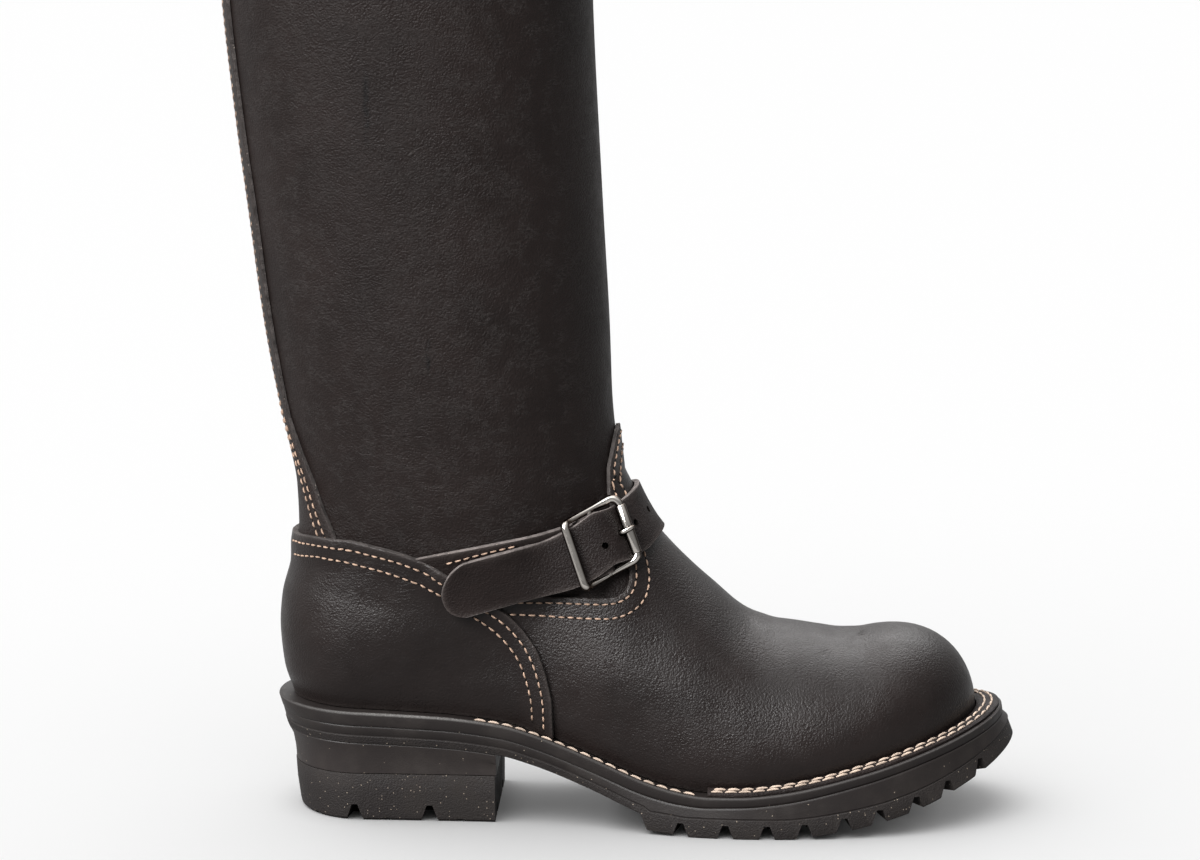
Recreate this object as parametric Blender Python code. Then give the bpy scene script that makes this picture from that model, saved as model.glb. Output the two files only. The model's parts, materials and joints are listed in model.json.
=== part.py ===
"""Right over-the-knee boot: a tall leather shaft, a strapped foot and a lugged rubber sole.

Sizes are millimetres until a mesh is made. X runs from heel to toe, Y from the outer side (-)
to the inner side (+) of the right foot, and Z up from the floor. The origin is the middle of
the heel's tread. The boot's skin is one form: a foot and a leg, each given as half widths over
the side view, joined by a soft union. Every piece of leather is an offset of that form, and
every layer of the sole follows the same plan and the same rim line.
"""
import math
from collections import namedtuple

import bmesh
import bpy
import numpy as np

MM = 0.001
GAP = 0.3
SEAT = 0.8

# Thickness of the leather pieces.
WALL = 2.2
VAMP_THICKNESS = 1.9
COUNTER_THICKNESS = 2.5
STAY_THICKNESS = 1.7

# The leg in the side view: its back line, its front line and half its breadth at each height.
LegRow = namedtuple("LegRow", "height back front half_breadth")
LEG = (
    LegRow(46, -43.4, 58.0, 22.0),
    LegRow(53, -45.1, 64.0, 25.0),
    LegRow(64, -47.2, 71.0, 29.0),
    LegRow(80, -48.4, 80.0, 33.0),
    LegRow(92, -47.4, 86.0, 35.5),
    LegRow(106, -43.8, 91.0, 38.0),
    LegRow(124, -40.7, 95.0, 41.3),
    LegRow(141, -41.3, 95.8, 44.3),
    LegRow(159, -44.4, 94.3, 46.9),
    LegRow(176, -48.0, 92.7, 49.0),
    LegRow(211, -53.9, 91.3, 52.2),
    LegRow(254, -59.5, 88.7, 55.0),
    LegRow(296, -64.8, 86.6, 57.0),
    LegRow(347, -69.7, 84.1, 59.0),
    LegRow(420, -74.6, 81.6, 60.5),
    LegRow(510, -77.6, 81.0, 62.5),
    LegRow(610, -80.0, 83.0, 66.0),
)
LEG_ROUNDNESS = 2.2
COLLAR_HEIGHT = 610.0

# The foot's top line in the side view, up to the toe box.
TopRow = namedtuple("TopRow", "x top")
FOOT_TOP = (
    TopRow(-60.0, 174.0),
    TopRow(40.0, 172.0),
    TopRow(75.0, 166.0),
    TopRow(90.0, 156.0),
    TopRow(98.0, 141.5),
    TopRow(102.6, 132.0),
    TopRow(108.0, 123.0),
    TopRow(116.0, 113.6),
    TopRow(124.6, 105.0),
    TopRow(134.2, 96.5),
    TopRow(144.8, 87.8),
    TopRow(155.2, 81.8),
    TopRow(164.0, 79.0),
    TopRow(173.0, 77.4),
    TopRow(182.0, 75.9),
    TopRow(191.0, 75.1),
    TopRow(200.0, 76.2),
)
FOOT_FULLNESS = 2.3
TOE_BOX_START = 200.0
TOE_BOX_ROUNDNESS = 1.9
SIDE_BULGE = 3.0
BULGE_HEIGHT = 7.0
SOFT_UNION = 420.0

# The plan of the sole's rim: half breadths on the outer and the inner side of the middle line.
PlanRow = namedtuple("PlanRow", "x outer inner")
PLAN = (
    PlanRow(-13.5, 38.8, 38.8),
    PlanRow(12.0, 39.4, 38.2),
    PlanRow(38.0, 40.4, 36.6),
    PlanRow(62.0, 42.0, 35.6),
    PlanRow(86.0, 45.6, 37.4),
    PlanRow(110.0, 50.6, 42.6),
    PlanRow(134.0, 55.3, 49.0),
    PlanRow(155.0, 57.0, 52.6),
    PlanRow(175.0, 57.0, 53.5),
)
HEEL_CENTRE = -13.5
HEEL_RADIUS = 38.8
OUTER_BALL = 155.0
INNER_BALL = 175.0
TOE_TIP = 261.0
TOE_ROUNDNESS = 2.6
TOE_SWING = 4.0
SWING_START = 120.0

# How far the upper's foot stands inside the rim, at the sides, the heel and the toe.
LEDGE_SIDE = 7.4
LEDGE_HEEL = 7.2
LEDGE_TOE = 13.6

# The rim line: the top of the sole's edge in the side view.
RimRow = namedtuple("RimRow", "x height")
RIM = (
    RimRow(-56.0, 49.9),
    RimRow(20.0, 47.0),
    RimRow(46.0, 44.0),
    RimRow(59.0, 40.5),
    RimRow(84.0, 31.4),
    RimRow(110.0, 21.4),
    RimRow(122.0, 18.6),
    RimRow(134.0, 17.3),
    RimRow(148.0, 17.6),
    RimRow(164.0, 19.2),
    RimRow(198.0, 26.6),
    RimRow(230.0, 35.8),
    RimRow(268.0, 48.0),
)

# The lugs' tread line in the side view: flat under the ball, then the toe spring.
TreadRow = namedtuple("TreadRow", "x height")
TREAD = (
    TreadRow(108.0, 1.8),
    TreadRow(118.0, 0.8),
    TreadRow(126.0, 0.0),
    TreadRow(165.0, 0.0),
    TreadRow(176.0, 0.9),
    TreadRow(190.0, 2.9),
    TreadRow(206.0, 6.0),
    TreadRow(220.0, 9.8),
    TreadRow(233.0, 14.6),
    TreadRow(245.0, 20.0),
    TreadRow(255.0, 25.0),
    TreadRow(268.0, 32.5),
)

# The counter's edge in the side view: along its top line and down its front.
EdgeRow = namedtuple("EdgeRow", "x z")
COUNTER_EDGE = (
    EdgeRow(-60.0, 119.5),
    EdgeRow(-44.0, 119.5),
    EdgeRow(-31.0, 121.8),
    EdgeRow(-19.0, 122.0),
    EdgeRow(-8.0, 120.6),
    EdgeRow(2.4, 118.6),
    EdgeRow(13.0, 115.2),
    EdgeRow(21.5, 111.2),
    EdgeRow(33.8, 102.8),
    EdgeRow(42.0, 97.0),
    EdgeRow(48.6, 92.0),
    EdgeRow(55.6, 84.8),
    EdgeRow(62.2, 75.4),
    EdgeRow(66.4, 64.0),
    EdgeRow(68.6, 53.0),
    EdgeRow(69.2, 30.0),
)

# The vamp's edge in the side view: its wing below the strap, then the front tab.
VAMP_EDGE = (
    EdgeRow(38.0, 97.9),
    EdgeRow(63.0, 97.9),
    EdgeRow(92.0, 98.2),
    EdgeRow(96.7, 99.3),
    EdgeRow(99.3, 101.9),
    EdgeRow(100.2, 106.4),
    EdgeRow(98.0, 115.0),
    EdgeRow(95.2, 123.6),
    EdgeRow(92.2, 133.8),
    EdgeRow(90.4, 141.5),
    EdgeRow(90.2, 150.0),
    EdgeRow(91.5, 157.5),
    EdgeRow(93.0, 163.5),
    EdgeRow(95.5, 168.0),
)

# Half the back strip's breadth, seen from behind, at each height.
StayRow = namedtuple("StayRow", "height half_breadth")
STAY = (
    StayRow(100.0, 33.0),
    StayRow(122.0, 29.0),
    StayRow(134.0, 26.0),
    StayRow(146.0, 23.0),
    StayRow(160.0, 19.5),
    StayRow(173.0, 17.0),
    StayRow(190.0, 15.5),
    StayRow(265.0, 17.0),
    StayRow(640.0, 17.0),
)

# The two straps' middle lines in the side view.
STRAP_LINE = (
    EdgeRow(24.0, 102.4),
    EdgeRow(49.0, 109.5),
    EdgeRow(79.0, 117.3),
    EdgeRow(98.0, 125.0),
    EdgeRow(107.6, 132.4),
    EdgeRow(118.0, 142.0),
)
BUCKLE_STRAP_LINE = (
    EdgeRow(0.0, 99.0),
    EdgeRow(30.0, 109.3),
    EdgeRow(46.6, 113.2),
    EdgeRow(63.2, 116.3),
    EdgeRow(73.0, 118.2),
    EdgeRow(100.0, 124.6),
)
STRAP_HALF = 10.7
STRAP_THICKNESS = 2.2
BUCKLE_STRAP_THICKNESS = 2.0
SHORT_STRAP_LIFT = 1.15
STRAP_ROWS = 5

# How high the strap's under face lies over the form, from its tail past the buckle to the front.
LiftRow = namedtuple("LiftRow", "x lift")
STRAP_LIFT = (
    LiftRow(20.0, 4.0),
    LiftRow(54.0, 4.0),
    LiftRow(64.0, 4.6),
    LiftRow(72.0, 6.4),
    LiftRow(77.0, 7.4),
    LiftRow(83.0, 8.6),
    LiftRow(88.2, 8.9),
    LiftRow(90.4, 8.2),
    LiftRow(93.0, 5.4),
    LiftRow(95.0, 3.7),
    LiftRow(98.0, 3.0),
    LiftRow(130.0, 3.0),
)
STRAP_STATIONS = (24.0, 24.6, 26.4, 29.3, 34.0, 44.0, 55.0, 64.0, 69.0, 73.0, 77.0, 81.0, 85.0,
                  88.8, 91.0, 93.0, 95.0, 97.0, 99.0, 101.0, 103.0, 104.8, 106.2, 107.1, 107.6)
INNER_LIFT = 3.1
INNER_STATIONS = (107.1, 106.2, 104.8, 103.0, 100.5, 97.0, 92.0, 86.0, 78.0, 68.0, 57.0, 45.0, 34.0)

# The buckle, in its own directions: along the strap, across it and out from the boot.
BUCKLE_X = 88.8
BUCKLE_CHORD = 11.0
BUCKLE_HALF_LENGTH = 13.8
BUCKLE_HALF_BREADTH = 13.4
BUCKLE_CORNER = 4.5
ROD_RADIUS = 1.75
BAR_RADIUS = 1.3
BAR_OUT = 5.3
FRAME_OUT = 5.4
FRAME_BOW = 3.4
FRAME_TILT = -1.4
ROLLER_RADIUS = 2.9
ROLLER_LENGTH = 19.0
PRONG_RADIUS = 1.1
LOOP_THICKNESS = 1.2

# Layers of the sole.
MIDSOLE_HEEL = 6.0
MIDSOLE_TOE = 4.4
SOLE_WAIST = 14.0
TREAD_START = 108.0
INSOLE_THICKNESS = 3.6
WELT_THICKNESS = 1.8
WELT_START = 134.0
WELT_INSET = 1.4
HEEL_CAP_HEIGHT = 20.5
BREAST = 44.0

# Grooves between the lugs: where each one meets the edge, and the form they share.
TREAD_GROOVES = (122.6, 141.5, 159.0, 174.9, 191.6, 206.6, 222.4, 236.0, 250.5)
HEEL_GROOVES = (-16.8, 15.4)
GROOVE_DEPTH = 5.7
GROOVE_MOUTH = 3.5
GROOVE_ROOT = 1.25
EDGE_LUG = 17.0
CHANNEL = 4.5
CROSS_GROOVES = (134.0, 152.0, 170.0, 188.0, 206.0)

RINGS_FOOT = 14
RINGS_LEG = 7
AROUND = 18
THROAT_HEIGHT = 172.0


def smooth_through(table, key, value):
    """Returns a smooth function through two columns of a table that never overshoots its rows."""
    keys = np.array([getattr(row, key) for row in table], float)
    values = np.array([getattr(row, value) for row in table], float)
    steps = np.diff(values) / np.diff(keys)
    slopes = np.zeros(len(keys))
    rising = steps[:-1] * steps[1:] > 0
    slopes[1:-1][rising] = 2.0 * steps[:-1][rising] * steps[1:][rising] / (steps[:-1] + steps[1:])[rising]
    slopes[0], slopes[-1] = steps[0], steps[-1]

    def function(at):
        at = np.clip(np.asarray(at, float), keys[0], keys[-1])
        index = np.clip(np.searchsorted(keys, at, side="right") - 1, 0, len(keys) - 2)
        width = keys[index + 1] - keys[index]
        t = (at - keys[index]) / width
        start = values[index] * (1 + 2 * t) * (1 - t) ** 2 + slopes[index] * width * t * (1 - t) ** 2
        end = values[index + 1] * t * t * (3 - 2 * t) + slopes[index + 1] * width * t * t * (t - 1)
        return start + end

    return function


leg_back = smooth_through(LEG, "height", "back")
leg_front = smooth_through(LEG, "height", "front")
leg_half = smooth_through(LEG, "height", "half_breadth")
rim_height = smooth_through(RIM, "x", "height")
tread_height = smooth_through(TREAD, "x", "height")
instep_top = smooth_through(FOOT_TOP, "x", "top")
plan_outer = smooth_through(PLAN, "x", "outer")
plan_inner = smooth_through(PLAN, "x", "inner")


def ease(at, start, end):
    """Runs smoothly from 0 at start to 1 at end."""
    t = np.clip((np.asarray(at, float) - start) / (end - start), 0.0, 1.0)
    return t * t * (3 - 2 * t)


def toe_swing(x):
    """Gives the middle line's shift to the inner side, from the ball to the toe."""
    reach = np.clip((np.asarray(x, float) - SWING_START) / (TOE_TIP - SWING_START), 0.0, 1.2)
    return TOE_SWING * reach ** 2


def half_plan(x, side, grow_side=0.0, grow_heel=0.0, grow_toe=0.0):
    """Gives the rim's half breadth at x on one side (-1 outer, +1 inner), grown or shrunk."""
    x = np.asarray(x, float)
    rows, ball = (plan_outer, OUTER_BALL) if side < 0 else (plan_inner, INNER_BALL)
    half = rows(np.clip(x, HEEL_CENTRE, ball)) + grow_side
    heel = np.clip((HEEL_CENTRE - x) / (HEEL_RADIUS + grow_heel), 0.0, 1.0)
    toe = np.clip((x - ball) / (TOE_TIP + grow_toe - ball), 0.0, 1.0)
    return half * np.sqrt((1 - heel ** 2) * (1 - toe ** TOE_ROUNDNESS))


def foot_top(x):
    """Gives the foot's top line, with the toe box rounded down to the rim."""
    x = np.asarray(x, float)
    toe = np.clip((x - TOE_BOX_START) / (TOE_TIP - LEDGE_TOE - TOE_BOX_START), 0.0, 1.0)
    rise = instep_top(TOE_BOX_START) - rim_height(TOE_BOX_START)
    box = rim_height(x) + rise * np.sqrt(1 - toe ** TOE_BOX_ROUNDNESS)
    return np.where(x < TOE_BOX_START, instep_top(x), box)


def heel_shear(x, z):
    """Moves x so that the foot's plan follows the back line of the heel at each height."""
    start = HEEL_CENTRE - HEEL_RADIUS + LEDGE_HEEL
    return x - (leg_back(z) - start) * (1 - ease(x, -20.0, 45.0))


def foot_halves(x, z):
    """Gives the foot's outer and inner half breadths at the feather line, bulged above it."""
    plan_x = heel_shear(x, z)
    swell = SIDE_BULGE * (1 - np.exp(-np.maximum(z - rim_height(x), 0.0) / BULGE_HEIGHT))
    grow = {"grow_side": -LEDGE_SIDE, "grow_heel": -LEDGE_HEEL, "grow_toe": -LEDGE_TOE}
    outer, inner = (half_plan(plan_x, side, **grow) for side in (-1, 1))
    return outer * (1 + swell / 40.0), inner * (1 + swell / 40.0)


def form_square(x, z):
    """Gives the square of the form's half breadth: zero on the outline of the side view."""
    outer, inner = foot_halves(x, z)
    low = rim_height(x)
    up = np.maximum(z - low, 0.0) / np.maximum(foot_top(x) - low, 0.5)
    foot = (0.5 * (outer + inner)) ** 2 * (1 - up ** FOOT_FULLNESS)
    middle = 0.5 * (leg_back(z) + leg_front(z))
    across = np.abs(x - middle) / (0.5 * (leg_front(z) - leg_back(z)))
    leg = leg_half(z) ** 2 * (1 - across ** LEG_ROUNDNESS)
    near = np.maximum(SOFT_UNION - np.abs(foot - leg), 0.0) / SOFT_UNION
    return np.maximum(foot, leg) + 0.25 * SOFT_UNION * near ** 2 * ease(np.maximum(foot, leg), 0.0, 700.0)


def side_share(x, z, side):
    """Gives one side's share of the half breadth: the foot is not even, the leg is."""
    outer, inner = foot_halves(x, z)
    own = outer if side < 0 else inner
    share = 2.0 * (own + 1.0) / (outer + inner + 2.0)
    return 1 + (share - 1) * (1 - ease(z, 70.0, 140.0))


def form_level(x, y, z):
    """Is positive inside the form, zero on its skin and negative outside."""
    side = np.where(y < toe_swing(x), -1, 1)
    share = np.where(side < 0, side_share(x, z, -1), side_share(x, z, 1))
    return form_square(x, z) - ((y - toe_swing(x)) / share) ** 2


def skin(x, z, side, lift=0.0):
    """Gives points of the form's skin on one side, lifted off it along its normal."""
    x, z = np.broadcast_arrays(np.asarray(x, float), np.asarray(z, float))
    half = np.sqrt(np.maximum(form_square(x, z), 0.0))
    y = toe_swing(x) + side * side_share(x, z, side) * half
    step = 0.05
    normal = np.stack([
        form_level(x - step, y, z) - form_level(x + step, y, z),
        form_level(x, y - step, z) - form_level(x, y + step, z),
        form_level(x, y, z - step) - form_level(x, y, z + step),
    ], -1)
    normal /= np.maximum(np.linalg.norm(normal, axis=-1, keepdims=True), 1e-9)
    return np.stack([x, y, z], -1) + normal * np.asarray(lift, float)[..., None]


def front_line():
    """Gives the form's front outline in the side view, from the toe's feather line to the throat."""
    start = TOE_TIP - LEDGE_TOE
    angle = np.linspace(0.0, math.pi / 2, 40)
    toe = TOE_BOX_START + (start - TOE_BOX_START) * np.cos(angle)
    back = np.linspace(TOE_BOX_START, 99.0, 80)[1:]
    x = np.concatenate([toe, back])
    z = foot_top(x)
    rise = np.linspace(146.0, THROAT_HEIGHT, 12)
    return np.stack([np.concatenate([x, leg_front(rise)]), np.concatenate([z, rise])], -1)


def settle(points):
    """Moves points of the side view onto the form's outline, along its slope."""
    points = points.copy()
    step = 0.05
    for _ in range(6):
        x, z = points[:, 0], points[:, 1]
        level = form_square(x, z)
        slope = np.stack([
            form_square(x + step, z) - form_square(x - step, z),
            form_square(x, z + step) - form_square(x, z - step),
        ], -1) / (2 * step)
        move = -level / np.maximum((slope ** 2).sum(-1), 1.0)
        points += np.clip(move[:, None] * slope, -2.0, 2.0)
    return points


def along(points, count):
    """Spaces a number of points evenly along a polyline."""
    length = np.concatenate([[0.0], np.cumsum(np.linalg.norm(np.diff(points, axis=0), axis=1))])
    at = np.linspace(0.0, length[-1], count)
    return np.stack([np.interp(at, length, points[:, i]) for i in range(points.shape[1])], -1)


def side_grid(rings_foot, rings_leg, around):
    """Gives the side view's grid: a row for each ring, from the back outline to the front one."""
    share = 0.5 * (1 - np.cos(np.linspace(0.0, math.pi, around + 1)))
    front = along(front_line(), rings_foot + 1)
    front[1:] = settle(front[1:])
    front[0, 1] = rim_height(front[0, 0]) + SEAT
    low_back = float(rim_height(HEEL_CENTRE - HEEL_RADIUS)) + SEAT
    back_z = np.linspace(low_back, THROAT_HEIGHT, rings_foot + 1)
    back = np.stack([leg_back(back_z), back_z], -1)
    feather_x = back[0, 0] + (front[0, 0] - back[0, 0]) * share
    feather = np.stack([feather_x, rim_height(feather_x) + SEAT], -1)
    feather[0] = back[0]
    throat = back[-1] + (front[-1] - back[-1]) * share[:, None]
    rows = []
    for ring in range(rings_foot + 1):
        up = ring / rings_foot
        start = back[ring] - (1 - up) * back[0] - up * back[-1]
        end = front[ring] - (1 - up) * front[0] - up * front[-1]
        blend = (1 - up) * feather + up * throat
        rows.append(blend + (1 - share[:, None]) * start + share[:, None] * end)
    for height in np.linspace(THROAT_HEIGHT, COLLAR_HEIGHT, rings_leg + 1)[1:]:
        x = leg_back(height) + (leg_front(height) - leg_back(height)) * share
        rows.append(np.stack([x, np.full_like(x, height)], -1))
    return np.array(rows)


def tube(grid, lift):
    """Gives rings of points round the form: the outer side from back to front, then the inner side."""
    sides = [skin(grid[..., 0], grid[..., 1], side, np.full(grid.shape[:2], lift)) for side in (-1, 1)]
    rings = np.concatenate([sides[0], sides[1][:, -2:0:-1]], axis=1)
    rings[0, :, 2] = rim_height(rings[0, :, 0]) + SEAT
    return rings


def new_object(name, verts, faces, material):
    """Makes a named object from points in millimetres, with its faces turned outward."""
    mesh = bpy.data.meshes.new(name)
    mesh.from_pydata([tuple(float(c) * MM for c in v) for v in verts], [], faces)
    shell = bmesh.new()
    shell.from_mesh(mesh)
    bmesh.ops.recalc_face_normals(shell, faces=shell.faces)
    shell.to_mesh(mesh)
    shell.free()
    mesh.materials.append(material)
    thing = bpy.data.objects.new(name, mesh)
    bpy.context.scene.collection.objects.link(thing)
    return thing


def shell_between(name, outer, inner, material):
    """Makes the wall between two tubes of rings, closed along its two open edges."""
    rings, count = outer.shape[:2]
    verts = np.concatenate([outer.reshape(-1, 3), inner.reshape(-1, 3)])
    base = rings * count
    faces = []
    for ring in range(rings - 1):
        for step in range(count):
            a, b = ring * count + step, ring * count + (step + 1) % count
            for lane in (0, base):
                faces.append((lane + a, lane + b, lane + b + count))
                faces.append((lane + a, lane + b + count, lane + a + count))
    for step in range(count):
        after = (step + 1) % count
        faces.append((step, base + step, base + after, after))
        top = (rings - 1) * count
        faces.append((top + step, top + after, base + top + after, base + top + step))
    return new_object(name, verts, faces, material)


def finish(name, color, roughness, metallic=0.0):
    """Makes a plain material for one piece."""
    material = bpy.data.materials.new(name)
    material.use_nodes = True
    shader = material.node_tree.nodes["Principled BSDF"]
    shader.inputs["Base Color"].default_value = (*color, 1.0)
    shader.inputs["Roughness"].default_value = roughness
    shader.inputs["Metallic"].default_value = metallic
    return material


def make_upper(grid):
    """Makes the shaft and the lined foot as one hollow wall, open at the collar and underneath."""
    material = finish("upper", (0.03, 0.022, 0.018), 0.5)
    return shell_between("upper", tube(grid, 0.0), tube(grid, -WALL), material)


def cut(thing, cutter, operation):
    """Cuts one object with another by an exact Boolean, and removes the cutter."""
    cutter.hide_render = True
    cutter.display_type = "WIRE"
    step = thing.modifiers.new("cut", "BOOLEAN")
    step.operation = operation
    step.solver = "EXACT"
    step.object = cutter
    graph = bpy.context.evaluated_depsgraph_get()
    mesh = bpy.data.meshes.new_from_object(thing.evaluated_get(graph))
    thing.modifiers.clear()
    thing.data = mesh
    bpy.data.objects.remove(cutter, do_unlink=True)
    return thing


def weld(thing, distance=0.02):
    """Joins points closer than a distance and drops what has no area."""
    shell = bmesh.new()
    shell.from_mesh(thing.data)
    bmesh.ops.remove_doubles(shell, verts=shell.verts, dist=distance * MM)
    bmesh.ops.dissolve_degenerate(shell, edges=shell.edges, dist=distance * MM)
    bmesh.ops.recalc_face_normals(shell, faces=shell.faces)
    shell.to_mesh(thing.data)
    shell.free()
    return thing


def prism(name, outline, axis, low, high, material):
    """Makes a straight prism from an outline, along X (outline in y and z) or Y (in x and z)."""
    count = len(outline)
    verts = []
    for depth in (low, high):
        for a, b in outline:
            verts.append((depth, a, b) if axis == "X" else (a, depth, b))
    faces = [tuple(range(count)), tuple(range(2 * count - 1, count - 1, -1))]
    faces += [(i, count + i, count + (i + 1) % count, (i + 1) % count) for i in range(count)]
    return new_object(name, verts, faces, material)


def rounded(table, steps=3):
    """Gives a smooth line in the side view through a table of edge points."""
    points = np.array([(row.x, row.z) for row in table])
    length = np.concatenate([[0.0], np.cumsum(np.linalg.norm(np.diff(points, axis=0), axis=1))])
    Column = namedtuple("Column", "at x z")
    rows = [Column(l, x, z) for l, (x, z) in zip(length, points)]
    at = np.unique(np.concatenate([np.linspace(a, b, steps + 1) for a, b in zip(length[:-1], length[1:])]))
    return np.stack([smooth_through(rows, "at", "x")(at), smooth_through(rows, "at", "z")(at)], -1)


def make_overlays(grid):
    """Makes the leather over the form: counter and vamp cut in the side view, the strip from behind."""
    skin_low, foot_grid = tube(grid, GAP), grid[:RINGS_FOOT + 2]
    counter_edge = rounded(COUNTER_EDGE)
    made = {}
    material = finish("counter", (0.035, 0.026, 0.022), 0.45)
    shell = shell_between("counter", tube(foot_grid, GAP + COUNTER_THICKNESS), tube(foot_grid, GAP), material)
    outline = list(counter_edge) + [(counter_edge[-1][0], 5.0), (-90.0, 5.0), (-90.0, counter_edge[0][1])]
    made["counter"] = weld(cut(shell, prism("cut", outline, "Y", -90.0, 90.0, material), "INTERSECT"))
    material = finish("vamp", (0.035, 0.026, 0.022), 0.42)
    shell = shell_between("vamp", tube(foot_grid, GAP + VAMP_THICKNESS), tube(foot_grid, GAP), material)
    front = counter_edge[counter_edge[:, 0] > 38.0] + (0.8 * GAP, 0.8 * GAP)
    wing = rounded(VAMP_EDGE)
    wing = wing[wing[:, 0] > front[0][0] + 2.0]
    outline = list(wing) + [(330.0, wing[-1][1]), (330.0, 5.0), (front[-1][0], 5.0)] + list(front[::-1])
    made["vamp"] = weld(cut(shell, prism("cut", outline, "Y", -90.0, 90.0, material), "INTERSECT"))
    material = finish("back_stay", (0.028, 0.021, 0.018), 0.5)
    shell = shell_between("back_stay", tube(grid, GAP + STAY_THICKNESS), skin_low, material)
    half = smooth_through(STAY, "height", "half_breadth")
    heights = np.concatenate([np.linspace(100.0, 190.0, 10), np.linspace(265.0, 640.0, 4)])
    outline = [(-half(z), z) for z in heights[::-1]] + [(half(z), z) for z in heights]
    stay = cut(shell, prism("cut", outline, "X", -140.0, 0.0, material), "INTERSECT")
    outline = [(-90.0, 5.0), (-90.0, counter_edge[0][1] + GAP)] + list(counter_edge + (0.0, GAP)) + [(counter_edge[-1][0], 5.0)]
    made["back_stay"] = weld(cut(stay, prism("cut", outline, "Y", -90.0, 90.0, material), "DIFFERENCE"))
    return made


def plan_line(side, count, start, end, grow_side, grow_heel, grow_toe):
    """Gives one side of a plan outline, close-set where it rounds the heel or the toe."""
    first = HEEL_CENTRE - HEEL_RADIUS - grow_heel if start is None else start
    last = TOE_TIP + grow_toe if end is None else end
    t = np.linspace(0.0, 1.0, count + 1)
    if start is None and end is None:
        t = 0.5 * (1 - np.cos(math.pi * t))
    elif start is None:
        t = 1 - np.cos(0.5 * math.pi * t)
    elif end is None:
        t = np.sin(0.5 * math.pi * t)
    x = first + (last - first) * t
    side_grow = grow_side(x) if callable(grow_side) else grow_side
    return x, toe_swing(x) + side * half_plan(x, side, side_grow, grow_heel, grow_toe)


def layer(name, sections, count, material, start=None, end=None):
    """Makes a layer of the sole from sections, top to bottom: a height function and a plan for each."""
    verts, rings = [], []
    for height, plan in sections:
        ring = []
        for side in (-1, 1):
            x, y = plan_line(side, count, start, end, *plan)
            points = [(a, b, float(height(a))) for a, b in zip(x, y)]
            ring.append(points)
        verts.append(ring)
    keep_first, keep_last = (0 if start is not None else 1), (0 if end is not None else 1)
    points, index = [], []
    for outer, inner in verts:
        row_outer, row_inner = [], []
        for k, (a, b) in enumerate(zip(outer, inner)):
            row_outer.append(len(points))
            points.append(a)
            if (k == 0 and keep_first) or (k == count and keep_last):
                row_inner.append(row_outer[-1])
            else:
                row_inner.append(len(points))
                points.append(b)
        index.append((row_outer, row_inner))
    faces = []
    for k in range(count):
        for level in (0, len(index) - 1):
            outer, inner = index[level]
            faces.append((outer[k], outer[k + 1], inner[k + 1], inner[k]))
        for level in range(len(index) - 1):
            for side in (0, 1):
                top, low = index[level][side], index[level + 1][side]
                faces.append((top[k], top[k + 1], low[k + 1], low[k]))
    for level in range(len(index) - 1):
        for k, open_end in ((0, not keep_first), (count, not keep_last)):
            if open_end:
                top, low = index[level], index[level + 1]
                faces.append((top[0][k], top[1][k], low[1][k], low[0][k]))
    faces = [tuple(dict.fromkeys(face)) for face in faces]
    return new_object(name, points, [face for face in faces if len(face) > 2], material)


def strip(name, outer, inner, low, high, material):
    """Makes a strip between two lines of plan points, from a low to a high function of x."""
    count = len(outer)
    verts = []
    for line, height in ((outer, low), (inner, low), (inner, high), (outer, high)):
        verts += [(x, y, float(height(x))) for x, y in line]
    faces = []
    for k in range(count - 1):
        for lane in range(4):
            a, b = lane * count, ((lane + 1) % 4) * count
            faces.append((a + k, a + k + 1, b + k + 1, b + k))
    for k in (0, count - 1):
        faces.append(tuple(lane * count + k for lane in range(4)))
    return new_object(name, verts, faces, material)


def round_toe(count, start, grow_side, grow_toe):
    """Gives a plan line from a start on the outer side round the toe to the inner side."""
    outer = np.stack(plan_line(-1, count, start, None, grow_side, 0.0, grow_toe), -1)
    inner = np.stack(plan_line(1, count, start, None, grow_side, 0.0, grow_toe), -1)
    return np.concatenate([outer, inner[-2::-1]])


def round_heel(count, end, grow_side, grow_heel):
    """Gives a plan line from an end on the outer side round the heel to the inner side."""
    outer = np.stack(plan_line(-1, count, None, end, grow_side, grow_heel, 0.0), -1)
    inner = np.stack(plan_line(1, count, None, end, grow_side, grow_heel, 0.0), -1)
    return np.concatenate([outer[::-1], inner[1:]])


def midsole_low(x):
    """Gives the midsole's under face, thinner towards the toe."""
    return rim_height(x) - MIDSOLE_HEEL + (MIDSOLE_HEEL - MIDSOLE_TOE) * ease(x, 90.0, 150.0)


def outsole_low(x):
    """Gives the outsole's under face: the arch, a step at the first lug, then the tread."""
    arch = rim_height(x) - SOLE_WAIST
    return np.where(np.asarray(x) < TREAD_START, arch, tread_height(x))


def edge_groove(x, side, grow_side, grow_heel, grow_toe, floor, depth, reach, material):
    """Makes the cutter of one groove, square to the edge and narrower towards its root."""
    plan = lambda at: float(toe_swing(at) + side * half_plan(at, side, grow_side, grow_heel, grow_toe))
    edge = np.array([x, plan(x)])
    along_edge = np.array([1.0, plan(x + 0.5) - plan(x - 0.5)])
    along_edge /= np.linalg.norm(along_edge)
    inward = np.array([along_edge[1], -along_edge[0]]) * (1 if side > 0 else -1)
    widen = (GROOVE_MOUTH - GROOVE_ROOT) / GROOVE_DEPTH
    verts = []
    for z, half in ((floor - 6.0, GROOVE_MOUTH + 6.0 * widen), (floor + depth, GROOVE_ROOT)):
        for reach_in, hand in ((-9.0, -1), (-9.0, 1), (reach, 1), (reach, -1)):
            place = edge + inward * reach_in + along_edge * half * hand
            verts.append((place[0], place[1], z))
    faces = [(0, 1, 2, 3), (7, 6, 5, 4), (0, 4, 5, 1), (1, 5, 6, 2), (2, 6, 7, 3), (3, 7, 4, 0)]
    return new_object("cut", verts, faces, material)


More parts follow.
